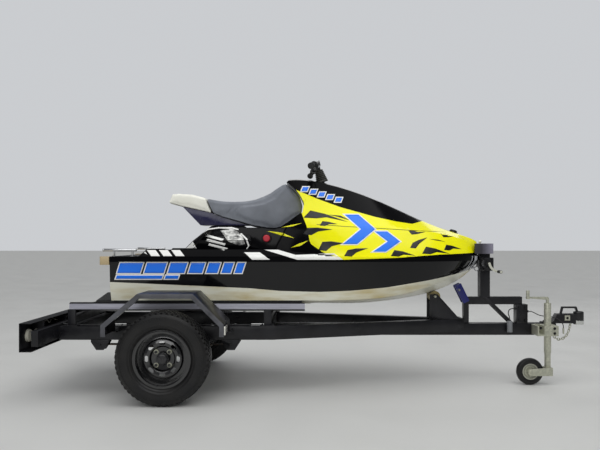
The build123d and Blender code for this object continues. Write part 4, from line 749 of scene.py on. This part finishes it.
def free_cord(name, route_mm, radius_mm, replaced):
    """A cord on one smooth NURBS line through its route."""
    curve = soft_curve(name, [[value * MM for value in at] for at in route_mm], 12)
    curve.bevel_depth = radius_mm * MM
    curve.bevel_resolution = 4
    curve.use_fill_caps = True
    curve.materials.append(finish_of("cable_grey"))
    cord = shown(name, curve)
    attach(cord, "root")
    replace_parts(cord, replaced)
    return cord


lead = free_cord("pigtail_lead", PIGTAIL, 3.5, "pigtail")
safety = free_cord("breakaway_line", BREAKAWAY, 3.0, "breakaway_cable")


# Livery: vinyl film on the flanks, cut on the side view and laid onto the mouldings
def slanted(x, z, long, tall, lean):
    """A leaning bar from its lower rear corner."""
    return [(x, z), (x + long, z), (x + long + lean, z + tall), (x + lean, z + tall)]


def chevron(x, z, long, tall, band):
    """A broad arrowhead that points to the bow."""
    half = tall / 2
    return [(x, z + tall), (x + band, z + tall), (x + long, z + half), (x + band * 0.8, z), (x - band * 0.2, z),
            (x + long - band, z + half)]


def splinter(x, z, long, tall, lean):
    """A thin tapering slash."""
    return [(x, z), (x + long * 0.45, z + tall * 0.55), (x + long, z + tall + lean),
            (x + long * 0.55, z + tall * 0.25)]


def claw(x, z, long, tall, hook):
    """A broad tear in the film: blunt behind, drawn out to a point toward the bow."""
    return [(x, z), (x + long * 0.16, z + tall), (x + long * 0.50, z + tall * 0.86 + hook * 0.4),
            (x + long, z + tall * 0.30 + hook), (x + long * 0.52, z + tall * 0.30 + hook * 0.3),
            (x + long * 0.30, z - tall * 0.10)]


def grown(outline, by):
    """An outline moved out by a width, corner by corner."""
    turn = sum(a[0] * b[1] - b[0] * a[1] for a, b in zip(outline, outline[1:] + outline[:1]))
    sign = 1 if turn > 0 else -1
    out = []
    for before, here, after in zip(outline[-1:] + outline[:-1], outline, outline[1:] + outline[:1]):
        a = (Vector(here) - Vector(before)).normalized()
        b = (Vector(after) - Vector(here)).normalized()
        na, nb = Vector((a.y, -a.x)) * sign, Vector((b.y, -b.x)) * sign
        middle = (na + nb).normalized()
        out.append(tuple(Vector(here) + middle * (by / max(0.35, middle.dot(na)))))
    return out


def surface_of(names):
    """What a ray meets on these CAD nodes."""
    points, faces = [], []
    for name in names:
        mesh = nodes[name].data
        start = len(points)
        points += [vert.co.copy() for vert in mesh.vertices]
        faces += [[start + k for k in face.vertices] for face in mesh.polygons]
    return BVHTree.FromPolygons(points, faces)


FLANKS = surface_of(["hood", "deck", "gunwale_bumper", "side_pods", "saddle_base", "hull"])
# Heights where the mouldings turn, so that film is cut there and lies close
FORM_EDGES = (0.8695, 0.8705, 0.8995, 0.9045, 0.9055, 0.9495, 0.9505)
FILM_THICK = 0.0004


def cut_film(outline, step):
    """A flat film of one outline of x and z, cut into a grid of steps and at the mouldings' edges."""
    flat = bmesh.new()
    flat.faces.new([flat.verts.new((x, 0, z)) for x, z in outline])
    bmesh.ops.triangulate(flat, faces=flat.faces)
    for k, normal in enumerate((Vector((1, 0, 0)), Vector((0, 0, 1)))):
        values = [corner[k] for corner in outline]
        low, high = min(values), max(values)
        cuts = [step * n for n in range(math.ceil(low / step), math.ceil(high / step))]
        for cut in cuts + [z for z in FORM_EDGES if k == 1 and low < z < high]:
            bmesh.ops.bisect_plane(flat, geom=flat.verts[:] + flat.edges[:] + flat.faces[:],
                                   plane_co=normal * cut, plane_no=normal)
    return flat


def press_film(flat, side, surface, lift, depth_jump):
    """Lays flat film onto a surface from one side, and drops what has nothing under it or jumps in depth."""
    lost = []
    for vert in flat.verts:
        hit, normal, _, _ = surface.ray_cast(Vector((vert.co.x, side * 2, vert.co.z)), Vector((0, -side, 0)))
        if hit is None:
            lost.append(vert)
            continue
        vert.co = hit + (-normal if normal.y * side < 0 else normal) * lift
    bmesh.ops.delete(flat, geom=lost, context="VERTS")
    torn = [face for face in flat.faces
            if max(v.co.y for v in face.verts) - min(v.co.y for v in face.verts) > depth_jump]
    bmesh.ops.delete(flat, geom=torn, context="FACES")
    for face in flat.faces:
        face.normal_update()
        if face.normal.y * side < 0:
            face.normal_flip()


def laid_film(name, outlines, finish, lift_mm, step_mm=12.0, surface=FLANKS, depth_jump=0.014):
    """Film cut to outlines of x and z, laid on both flanks and given its thickness."""
    film = bmesh.new()
    for outline in outlines:
        for side in SIDES:
            flat = cut_film(outline, step_mm * MM)
            press_film(flat, side, surface, lift_mm * MM, depth_jump)
            take_in(film, as_mesh("part", flat))
    piece = finish_piece(name, film, "gelcoat_yellow", material=finish, sharp_deg=40)
    thick = piece.modifiers.new("thickness", "SOLIDIFY")
    thick.thickness = FILM_THICK
    thick.offset = -1


white_film = vinyl_film("white_film", "#F2F2EE")
black_film = vinyl_film("black_film", "#0A0A0C")
yellow_film = vinyl_film("yellow_film", "#F2EE00")
blue_film = vinyl_film("blue_film", "#0074F2")
OUTLINE_W = 0.007

# Blue marks with white edges: arrowheads, dashes along the black top, and two rows of bars at the stern
blue_marks = [chevron(0.13, 0.985, 0.20, 0.20, 0.095), chevron(0.325, 0.935, 0.17, 0.135, 0.085)]
blue_marks += [slanted(-0.165 + 0.058 * k, 1.352 - 0.019 * k, 0.040, 0.030, 0.012) for k in range(5)]
rear = -1.365
for long in (0.150, 0.128, 0.108, 0.090, 0.074, 0.060, 0.048):
    blue_marks.append(slanted(rear, 0.797, long, 0.066, 0.022))
    rear += long + 0.026
blue_marks += [slanted(-1.375, 0.759, 0.30, 0.022, 0.008), slanted(-1.055, 0.759, 0.085, 0.022, 0.008)]
laid_film("film_white_edges", [grown(mark, OUTLINE_W) for mark in blue_marks], white_film, 0.7)
laid_film("film_blue_marks", blue_marks, blue_film, 1.3)

# White bands along the gunwale, splinters at the stern and on the pods
white_bands = [
    [(-0.405, 0.9485), (-0.316, 0.9485), (-0.200, 0.915), (0.053, 0.925), (0.108, 0.884), (-0.190, 0.884)],
    [(-0.538, 0.932), (-0.435, 0.932), (-0.366, 0.884), (-0.483, 0.884)],
    *[slanted(-1.142 + 0.080 * k, 0.9065, 0.058, 0.040, -0.034) for k in range(3)],
    [(-1.235, 0.9465), (-1.196, 0.9465), (-1.168, 0.918)],
    [(-0.995, 0.956), (-0.935, 0.996), (-0.898, 1.002), (-0.872, 0.956)],
    *[[(x + 0.014 * k, z - 0.031 * k) for x, z in ((-0.815, 1.052), (-0.690, 1.020), (-0.696, 1.006),
                                                   (-0.823, 1.038))] for k in range(3)],
]
edge_up = [(-0.842, 1.070), (-0.812, 1.092), (-0.740, 1.103), (-0.650, 1.103), (-0.600, 1.090)]
edge_front = [(-0.575, 1.060), (-0.530, 1.020), (-0.515, 0.975), (-0.530, 0.953)]
white_bands += [edge_up + [(x, z - 0.009) for x, z in reversed(edge_up)],
                edge_front + [(x - 0.010, z - 0.004) for x, z in reversed(edge_front)]]
laid_film("film_white_bands", white_bands, white_film, 0.7, 6.0)
SPRAYED = [(-0.725, 1.078), (-0.650, 1.088), (-0.600, 1.070), (-0.560, 1.030), (-0.545, 0.985), (-0.585, 0.975),
           (-0.655, 1.000), (-0.672, 1.045)]
laid_film("film_sprayed_patch", [SPRAYED], sprayed_film(), 0.7, 6.0)

black_cuts = [claw(*cut) for cut in (
    (-0.150, 1.165, 0.30, 0.050, -0.045), (-0.155, 1.050, 0.20, 0.045, 0.020), (-0.040, 1.110, 0.12, 0.030, 0.0),
    (-0.050, 0.945, 0.17, 0.055, 0.030), (0.118, 0.9065, 0.16, 0.040, 0.040), (0.425, 0.9065, 0.17, 0.040, -0.010),
    (0.560, 0.960, 0.13, 0.034, 0.060), (0.640, 0.922, 0.20, 0.046, -0.016), (0.800, 0.945, 0.14, 0.036, -0.006),
    (0.790, 1.060, 0.12, -0.028, -0.010), (0.560, 1.075, 0.12, -0.026, 0.0))]
black_cuts += [splinter(0.02, 1.185, 0.15, -0.030, -0.012), splinter(0.700, 1.020, 0.12, -0.020, 0.0)]
yellow_cuts = [splinter(*cut) for cut in (
    (-0.400, 1.075, 0.19, -0.050, 0.0), (-0.300, 1.098, 0.14, 0.030, 0.0), (-0.235, 0.960, 0.12, 0.050, 0.0),
    (-0.175, 1.250, 0.05, 0.060, 0.0))]
laid_film("film_black_cuts", black_cuts, black_film, 0.7, 8.0)
laid_film("film_yellow_cuts", yellow_cuts, yellow_film, 0.7, 6.0)


# Road tyres: lathed casing with its wall rings, and tread blocks round it
AXLE_X, TRACK_HALF, AXLE_Z = -1.007, 0.6675, 0.289
TYRE_HALF = [(165.5, 64), (180, 64.5), (184, 70.5), (191, 74.5), (192.5, 77.5), (197.5, 77.5), (198.5, 75.8),
             (207, 79), (208.5, 80.5), (211, 80.5), (212.5, 80), (224, 81.8), (240, 82), (253.5, 80.5), (254.5, 82.2),
             (258.5, 81.5), (259.5, 79.5), (268, 76.2), (275.5, 70), (279, 61), (281.5, 42), (282, 22.5), (279, 21.5),
             (279, 17.5), (282.2, 16.5), (282.5, 0)]
# Rows of blocks: count, turn in degrees, then in mm length round the tyre, width, distance from the middle, radius
TREAD_ROWS = [(52, 0, 26, 20, 0, 288.8), (52, 3.4, 24, 17, 21.5, 288.6), (52, 0, 26, 20, 43, 287.2),
              (52, 3.4, 22, 18, 64, 283.5), (96, 0, 3, 3.6, 81.2, 251), (24, 4, 18, 3, 80, 221.5)]
BLOCK_HIGH, BLOCK_SUNK, BLOCK_TAPER = 0.008, 0.004, 0.86


def tread_block(long, wide):
    """One block of tread, narrower at its top: x is outwards from the axle, z along it."""
    def build(bm):
        solid_box(bm, (-BLOCK_SUNK, -long / 2, -wide / 2), (BLOCK_HIGH, long / 2, wide / 2))
        for vert in bm.verts:
            if vert.co.x > 0:
                vert.co.y *= BLOCK_TAPER
                vert.co.z *= BLOCK_TAPER
    return pattern_object("tread_block", build)


ring = ring_tree()
for side, word in ((RIGHT, "right"), (LEFT, "left")):
    casing = bmesh.new()
    lathe(casing, TYRE_HALF + [(r, -w) for r, w in reversed(TYRE_HALF[:-1])], (AXLE_X, side * TRACK_HALF, AXLE_Z),
          steps=144)
    for count, turn, *sizes in TREAD_ROWS:
        long, wide, off, top = (size * MM for size in sizes)
        for half in ((-1, 1) if off else (0,)):
            take_in(casing, grow_mesh(
                ring, None, "tyre", Shape=tread_block(long, wide), Count=count, Radius=top - BLOCK_HIGH,
                Phase=(0, 0, math.radians(turn)), Centre=(AXLE_X, side * TRACK_HALF + half * off, AXLE_Z)))
    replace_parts(finish_piece(f"road_tyre_{word}", casing, "tyre", f"wheel_{word}", sharp_deg=35), f"tyre_{word}")

# Saddle and tail: vinyl covers blown up over their foam, with seams
CLOTH_FRAMES = 20


def blown_pad(name, node, shrink, voxel, pressure, cap):
    """A cushion's cover: the CAD solid drawn in, remeshed, filled by a cloth simulation and subdivided."""
    start = bmesh.new()
    start.from_mesh(nodes[node].data)
    bmesh.ops.remove_doubles(start, verts=start.verts, dist=WELD_GAP)
    pad = shown(name, as_mesh(name, start))
    bpy.context.view_layer.objects.active = pad
    remesh = pad.modifiers.new("remesh", "REMESH")
    remesh.mode = "VOXEL"
    remesh.voxel_size = voxel
    even = settled(pad)
    pad.modifiers.clear()
    pad.data = even
    before = [vert.co - vert.normal * shrink for vert in even.vertices]
    for vert, co in zip(even.vertices, before):
        vert.co = co
    cloth = pad.modifiers.new("cloth", "CLOTH")
    cloth.settings.use_pressure = True
    cloth.settings.uniform_pressure_force = pressure
    cloth.settings.effector_weights.gravity = 0
    cloth.settings.quality = 5
    cloth.point_cache.frame_start, cloth.point_cache.frame_end = 1, CLOTH_FRAMES
    for frame_number in range(1, CLOTH_FRAMES + 1):
        scene.frame_set(frame_number)
    full = settled(pad)
    pad.modifiers.clear()
    scene.frame_set(1)
    for vert, moved, co in zip(even.vertices, full.vertices, before):
        step = moved.co - co
        vert.co = co + step * min(1.0, cap / max(step.length, 1e-9))
    finer = pad.modifiers.new("finer", "SUBSURF")
    finer.levels = finer.render_levels = 1
    final = settled(pad)
    bpy.data.objects.remove(pad)
    return final


SEAM_DEEP, SEAM_WIDE = 0.0022, 0.0035


def press_seams(mesh, distance_of):
    """Draws the cover in along seams; distance_of gives a point's distance to the nearest one."""
    moves = [vert.normal * (-SEAM_DEEP * math.exp(-(distance_of(vert.co, vert.normal) / SEAM_WIDE) ** 2))
             for vert in mesh.vertices]
    for vert, move in zip(mesh.vertices, moves):
        vert.co += move


SEAM_Y, TAIL_SEAM_Y = 0.100, 0.088
CROSS_SEAMS = (-0.615, -0.375)
# Seams run on faces that look up, and all round ahead of this x; no seam near counts as a metre away
SEAM_UP, FRONT_X, FAR = 0.25, -0.24, 1.0


def saddle_seams(co, normal):
    """The distance to the two long seams or to the cross seams between them, which sweep back."""
    along = abs(abs(co.y) - SEAM_Y) if normal.z > SEAM_UP or co.x > FRONT_X else FAR
    across = min(abs(co.x - x + 0.25 * abs(co.y)) for x in CROSS_SEAMS) if abs(co.y) < SEAM_Y else FAR
    return min(along, across)


def tail_seams(co, normal):
    """The distance to the two long seams on top of the tail."""
    return abs(abs(co.y) - TAIL_SEAM_Y) if normal.z > SEAM_UP else FAR


for name, node, slot, seams, sizes in (
        ("saddle_cover", "saddle", "saddle_grey", saddle_seams, (0.006, 0.007, 4.0, 0.0065)),
        ("tail_cover", "saddle_tail", "tail_white", tail_seams, (0.0025, 0.006, 1.5, 0.0028))):
    cushion = blown_pad(name, node, *sizes)
    press_seams(cushion, seams)
    cover = finish_piece(name, cushion, slot, "saddle_lid", sharp_deg=180)
    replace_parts(cover, node)


def hex_head(bm):
    """A bolt head or nut 10 mm high and 10 mm in radius on a washer, with its corners turned off."""
    for radius, low, high, sides in ((12.5, 0, 1.8, 16), (10, 1.8, 8.5, 6), (8.2, 8.5, 10, 6), (5.5, 10, 12.5, 10)):
        made = bmesh.ops.create_cone(bm, cap_ends=True, segments=sides, radius1=radius * MM,
                                     radius2=radius * MM * 0.96, depth=(high - low) * MM)["verts"]
        for vert in made:
            vert.co.z += (low + high) / 2 * MM


HEX = pattern_object("hex_head", hex_head)
heads = heads_tree()


def set_heads(name, spots, size, body="root", slot="galvanised"):
    """Hexagon heads at places, each standing along its own direction, as one piece of one body."""
    finish_piece(name, grow_mesh(heads, point_mesh(spots), slot, Shape=HEX, Size=size), slot, body)


STUD_RING, STUD_OUT = 0.05715, 0.6950
HUB_CAP = [(CORE, 63.5), (20, 63), (29, 60), (34.2, 52), (34.2, 39), (37, 37.5), (37, 35), (CORE, 35)]
for side, word in ((RIGHT, "right"), (LEFT, "left")):
    around = [math.radians(45 + 90 * k) for k in range(4)]
    studs = [((AXLE_X + STUD_RING * math.cos(a), side * STUD_OUT, AXLE_Z + STUD_RING * math.sin(a)), (0, side, 0))
             for a in around]
    set_heads(f"lug_nuts_{word}", studs, 1.2, f"wheel_{word}")
    lathed_piece(f"hub_cap_{word}", "hub_steel", [(HUB_CAP, (AXLE_X, side * TRACK_HALF, AXLE_Z), (0, side, 0))],
                 f"wheel_{word}")

# Bolt heads of the trailer, the bright ones on the pins of the keel roller and of the guide ahead of it
RAIL_Y = 0.405
UPRIGHTS_X = (-1.675, -0.385)
bolts, bright_bolts = [], []
for side in SIDES:
    out = (0, side, 0)
    bolts += [((AXLE_X + dx, side * RAIL_Y + dy, 0.3405), UP) for dx in (-0.0275, 0.0275) for dy in (-0.0275, 0.0275)]
    bolts += [((x, side * 0.4338, 0.329), out) for x in (-0.622, -1.478)]
    bolts += [((-1.862, side * y, z), REAR) for y in (0.20, 0.56) for z in (0.385, 0.460)]
    bright_bolts += [((0.967, side * 0.033, 0.655), out), ((0.789, side * 0.061, 0.6104), out)]
    bolts += [((x + dx, side * RAIL_Y, 0.453), UP) for x in UPRIGHTS_X for dx in (-0.034, 0.034)]
    bolts += [((x, side * 0.035, z), out) for x in (1.395, 1.440) for z in (0.440, 0.530)]
bolts += [((x, 0.0, 0.425), UP) for x in (1.586, 1.632)]
bolts += [((x, -0.163, z), TO_RIGHT) for x, z in ((1.600, 0.362), (1.600, 0.396), (1.503, 0.400))]
bolts += [((x, -0.111, z), TO_RIGHT) for x in (1.130, 1.180) for z in (0.806, 0.880)]
set_heads("frame_bolts", bolts, 0.8, slot="frame_black")
set_heads("bright_bolts", bright_bolts, 0.8)

# Foot plates under the bunk uprights, and the feet and end caps of the stern rails
plates = bmesh.new()
for side in SIDES:
    for x in UPRIGHTS_X:
        solid_box(plates, (x - 0.048, side * RAIL_Y - 0.024, 0.448), (x + 0.048, side * RAIL_Y + 0.024, 0.453), 0.0012)
finish_piece("upright_foot_plates", plates, "frame_black", sharp_deg=35)
RAIL_FOOT = [(7.2, 0), (15, 0), (15, 2), (10, 5), (7.2, 6)]
RAIL_CAP = [(0.5, -1.5), (7, -1.2), (9.6, 2), (9.6, 8), (0.5, 8)]
STERN_RAIL_Y = 0.418
lathed_piece("stern_rail_trims", "stainless", [
    turn for side in SIDES for turn in (
        *[(RAIL_FOOT, (x, side * STERN_RAIL_Y, 0.905), UP, 24) for x in (-1.390, -1.270)],
        *[(RAIL_CAP, (x, side * STERN_RAIL_Y, 0.947), (inward, 0, 0), 24)
          for x, inward in ((-1.4633, 1), (-1.2433, -1))])], sharp_deg=35)

# Carpet on the rear of the bunk boards, following their tilt
lap = bmesh.new()
for side in SIDES:
    row = [(side * y, 0.5426 + 0.057 * y / 0.39996) for y in (0.126, 0.394)]
    verts = [lap.verts.new((x, y, z + lift)) for x in (-1.688, -1.400) for lift in (0.0002, 0.0045) for y, z in row]
    for face in ((0, 1, 3, 2), (4, 6, 7, 5), (0, 2, 6, 4), (1, 5, 7, 3), (2, 3, 7, 6), (0, 4, 5, 1)):
        lap.faces.new([verts[k] for k in face])
bmesh.ops.recalc_face_normals(lap, faces=lap.faces)
finish_piece("rear_board_carpet", lap, "carpet", sharp_deg=35)

# Bow: white ball on the stop, grey strips up the stem, and the joint line of the hood
globe = [(11 * math.cos(a), 13 + 11 * math.sin(a)) for a in (math.radians(d) for d in range(-50, 90, 14))]
lathed_piece("stop_ball", "stop_rubber", [
    ([(CORE, 0), (6, 0), (6, 4), *globe, (CORE, 24)], (1.125, 0, 0.988), UP, 24)],
    material=finish_of("tail_white"), sharp_deg=35)
STEM_STRIPS = [[(1.046, 0.902), (1.078, 0.902), (1.066, 0.850), (1.048, 0.806), (1.030, 0.796), (1.040, 0.850)],
               [(1.020, 0.902), (1.026, 0.902), (1.014, 0.850), (0.985, 0.804), (0.980, 0.806), (1.008, 0.850)]]
laid_film("stem_strips", STEM_STRIPS, rubber("stem_strip_rubber", "#B2B4B8", 5.0, 0.4), 1.6, 4.0,
          surface_of(["hull", "gunwale_bumper", "deck"]), 0.06)
JOINT, JOINT_HALF = [(-0.060, 1.1185), (0.129, 1.1035), (0.411, 1.0875), (0.642, 1.0745), (0.857, 1.0700)], 0.0016
joint_line = [(x, z + JOINT_HALF) for x, z in JOINT] + [(x, z - JOINT_HALF) for x, z in reversed(JOINT)]
laid_film("hood_joint_line", [joint_line], black_film, 0.5)

# Fuel filler on the nose, standing on the hood where a ray from above meets it
seat, way_out, _, _ = surface_of(["hood"]).ray_cast(Vector((0.930, 0, 2)), Vector((0, 0, -1)))
FILLER = [(CORE, 19), (20, 18.5), (25, 16), (26, 6), (33, 5), (34, 1), (34, -4), (CORE, -4)]
lathed_piece("fuel_filler", "bar_black", [(FILLER, seat, way_out)])

# Footwell mats: ribbed foam from the stern to the front of the well, its ribs starting a little inside
MAT_Y, MAT_HALF, MAT_REAR, MAT_FRONT, RIB_INSET = 0.347, 0.0505, -1.398, -0.306, 0.008
MAT_UNDER, MAT_TOP, RIB_FOOT = 0.8502, 0.8525, 0.8522
rib = pattern_box("mat_rib", (-0.0035, -0.048, 0.0), (0.0035, 0.048, 0.004), 0.001)
rows = row_tree()
mats = bmesh.new()
for side in SIDES:
    middle = side * MAT_Y
    solid_box(mats, (MAT_REAR, middle - MAT_HALF, MAT_UNDER), (MAT_FRONT, middle + MAT_HALF, MAT_TOP), 0.0008)
    ribbed = line_mesh([(x, middle, RIB_FOOT) for x in (MAT_REAR + RIB_INSET, MAT_FRONT - RIB_INSET)])
    take_in(mats, grow_mesh(rows, ribbed, "grip_black", Shape=rib, Step=0.0125, Roll=0.0))
finish_piece("footwell_mats", mats, "grip_black", material=rubber("mat_foam", "#2E2F33", 3.0, 0.8))

# Handlebar: ribbed grips, lever holders, hand levers, the boot on the column and the clamp's cap
BAR_MIDDLE = Vector((-0.0538, 0, 1.5597))
COLUMN_WAY = Vector((-math.sin(math.radians(17)), 0, math.cos(math.radians(17))))
GRIP_PROFILE = [(CORE, -3.8), (19, -3.8), (22.6, -2.2), (22.6, 0.8), (19.5, 2.4)]
for at in (4.5 + 6.6 * k for k in range(16)):
    GRIP_PROFILE += [(14.8, at), (14.8, at + 1.8), (16, at + 2.6), (16, at + 5.6), (14.8, at + 6.4)]
GRIP_PROFILE += [(19.5, 111.2), (22.6, 112.6), (22.6, 115), (11.2, 115.8), (11.2, 0.5), (CORE, 0.5)]
HOLDER = [(11.3, 124), (18, 124), (19.5, 127), (19.5, 152), (18, 155), (11.3, 155)]
LEVER_AHEAD = Vector((0.94, 0, -0.2)).normalized()
PIVOT_HALF = Vector((0.009, 0.010, 0.007))
grips, holders, levers = bmesh.new(), bmesh.new(), bmesh.new()
for side in SIDES:
    tip = BAR_MIDDLE + Vector((-0.045, side * 0.330, -0.050))
    bend = BAR_MIDDLE + Vector((0, side * 0.090, 0))
    inward = (bend - tip).normalized()
    lathe(grips, GRIP_PROFILE, tip, inward, 40)
    lathe(holders, HOLDER, tip, inward, 32)
    pivot = tip + inward * 0.139 + LEVER_AHEAD * 0.022
    reach = [pivot, pivot + LEVER_AHEAD * 0.014 - inward * 0.010]
    reach += [tip + inward * along + LEVER_AHEAD * ahead
              for along, ahead in ((0.100, 0.046), (0.060, 0.044), (0.030, 0.047), (0.022, 0.050))]
    tube_along(levers, smooth_path(reach), 0.0040)
    solid_box(holders, pivot - PIVOT_HALF, pivot + PIVOT_HALF, 0.002)
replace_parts(finish_piece("ribbed_grips", grips, "grip_black", "steering"), "grips")
finish_piece("lever_holders", holders, "bar_black", "steering")
finish_piece("hand_levers", levers, "bar_black", "steering", finish_of("pump_alloy"))
boot_line = [(16.3, 122), (26, 122)]
for k in range(6):
    at, wide = 117 - 13 * k, 31.5 + 2.2 * k
    boot_line += [(wide, at), (wide - 4, at - 6.5)]
boot_line += [(44, 38), (44, 32), (16.3, 32)]
lathed_piece("column_boot", "bar_black", [(boot_line, (-0.005, 0, 1.4), COLUMN_WAY, 40)], "steering",
             material=rubber("column_boot_rubber", "#2C2B25", 9.0, 0.5), sharp_deg=40)
clamp = bmesh.new()
solid_box(clamp, BAR_MIDDLE + Vector((-0.024, -0.040, 0.014)), BAR_MIDDLE + Vector((0.022, 0.040, 0.0195)), 0.002)
for x in (-0.015, 0.013):
    for y in (-0.028, 0.028):
        lathe(clamp, [(CORE, 0), (4.5, 0), (4.5, 2.6), (CORE, 3)], BAR_MIDDLE + Vector((x, y, 0.0175)), UP, 12)
finish_piece("bar_clamp_cap", clamp, "bar_black", "steering", finish_of("stainless"))

# Winch: strap wound on the drum, toothed wheel and handle sleeve
DRUM_AT, RATCHET_AT = (1.152, -0.078, 0.848), (1.152, -0.122, 0.848)
layers = [(30.2, -15.5), *[(34.5 - 0.4 * (k % 2), -15.5 + 3.1 * k) for k in range(11)], (30.2, 15.5)]
lathed_piece("wound_strap", "strap_grey", [(layers + [(28, 15.5), (28, -15.5)], DRUM_AT)], "winch_drum")
tooth = pattern_box("ratchet_tooth", (-0.001, -0.0022, -0.004), (0.0035, 0.0022, 0.004))
wheel = bmesh.new()
lathe(wheel, [(7.2, -4), (21, -4), (21, 4), (7.2, 4)], RATCHET_AT)
take_in(wheel, grow_mesh(ring, None, "galvanised", Shape=tooth, Count=18, Radius=0.021, Phase=(0, 0, 0),
                         Centre=RATCHET_AT))
finish_piece("ratchet_wheel", wheel, "galvanised", "winch_drum", finish_of("frame_black"))
SLEEVE = [(9.2, 0), (10.5, 0), (11.2, 10), (10, 30), (11.2, 52), (10.5, 60), (CORE, 60), (CORE, 58.5), (9.2, 58.5)]
lathed_piece("crank_sleeve", "grip_black", [(SLEEVE, (1.212, -0.1500, 0.792), TO_RIGHT, 32)], "winch_drum")


# Safety chain under the coupling, and the wiring along the right rail
def chain_link(bm):
    """A round link of wire, drawn out along the chain."""
    lathe(bm, [(8.5 + 2.6 * math.cos(a), 2.6 * math.sin(a)) for a in (math.pi * k / 3 for k in range(6))],
          (0, 0, 0), UP, 14)
    for vert in bm.verts:
        vert.co.x *= 1.35


CHAIN = [(1.640, -0.030, 0.331), (1.652, -0.029, 0.312), (1.690, -0.027, 0.296), (1.735, -0.025, 0.318),
         (1.762, -0.022, 0.372), (1.770, -0.018, 0.410)]
chain = grow_mesh(rows, line_mesh(smooth_path(CHAIN, 10)), "galvanised", Shape=pattern_object("chain_link", chain_link),
                  Step=0.0165, Roll=math.radians(90))
finish_piece("safety_chain", chain, "galvanised")
LOOM_Y, LOOM_Z, WIRE_RADIUS = -0.3745, 0.4515, 0.0035
loom = bmesh.new()
tube_along(loom, smooth_path([(-1.740, LOOM_Y, 0.462), *[(x, LOOM_Y, LOOM_Z) for x in (-1.700, -1.600, -1.0, -0.5)],
                              (-0.415, -0.372, LOOM_Z)]), WIRE_RADIUS)
for x in (-1.60, -1.35, -1.10, -0.85, -0.60):
    solid_box(loom, (x - 0.005, -0.3815, 0.4482), (x + 0.005, -0.3680, 0.4565), 0.001)
finish_piece("clipped_wiring", loom, "cable_grey")

# Jockey wheel: beads on both faces of the rim's web; knob: collar; coupling: latch plates and their bolts
JOCKEY_WHEEL = (1.436, -0.130, 0.093)
RIM_BEAD = [(30, 5.5), (30, 11.5), (32.5, 13.5), (36.5, 13.5), (39, 11.5), (39, 5.5)]
HUB_BEAD = [(17.8, 5.5), (17.8, 17.5), (20.5, 17.5), (23, 5.5)]
lathed_piece("jockey_rim_beads", "galvanised", [
    turn for face in SIDES for turn in ((RIM_BEAD, JOCKEY_WHEEL, (0, face, 0)),
                                        (HUB_BEAD, JOCKEY_WHEEL, (0, face, 0), 36))], "jockey_wheel")
COLLAR = [(24.3, 0), (24.3, 6), (27, 9), (30.5, 9), (34, 4), (35, 0)]
lathed_piece("knob_collar", "bar_black", [(COLLAR, (-0.402, -0.226, 1.024), TO_RIGHT)])
latch = bmesh.new()
for side in SIDES:
    near, far = sorted((side * 0.0300, side * 0.0335))
    solid_box(latch, (1.724, near, 0.436), (1.762, far, 0.472), 0.001)
finish_piece("latch_plates", latch, "galvanised")
set_heads("latch_bolts", [((1.743, side * 0.0335, 0.454), (0, side, 0)) for side in SIDES], 0.75, slot="frame_black")

# Light channel: backs of the lamps and their wire; reflectors: the rest of their plates
CHANNEL_WEB = -1.8570
LAMP_BACK = [(CORE, 0), (40, 0), (40, 12), (34, 18), (CORE, 20)]
WIRE_ROUTE = [(0.016, 0.630, 0.430), (0.026, 0.58, 0.452), (0.012, 0.50, 0.462), (0.010, 0.43, 0.466),
              (0.012, 0.39, 0.500), (0.012, 0.34, 0.452), (0.012, 0.29, 0.502), (0.010, 0.24, 0.456),
              (0.010, 0.0, 0.470)]
backs, lamp_wire, plates = bmesh.new(), bmesh.new(), bmesh.new()
for side in SIDES:
    lathe(backs, LAMP_BACK, (CHANNEL_WEB, side * 0.640, 0.422), (1, 0, 0), 40)
    tube_along(lamp_wire, smooth_path([(CHANNEL_WEB + off, side * y, z) for off, y, z in WIRE_ROUTE]), WIRE_RADIUS)
    near, far = sorted((side * 0.615, side * 0.7135))
    solid_box(plates, (-0.6272, near, 0.4420), (-0.6225, far, 0.4860), 0.0015)
finish_piece("lamp_backs", backs, "reflector", material=moulded_plastic("lamp_back_nylon", "#C9C7B8", 0.5))
finish_piece("lamp_wire", lamp_wire, "cable_grey", material=moulded_plastic("wire_sheath", "#A9A89C", 0.45))
finish_piece("reflector_plates", plates, "reflector")

final_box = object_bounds()
sizes = {"cad": [list(c) for c in cad_box], "visual": [list(c) for c in final_box]}
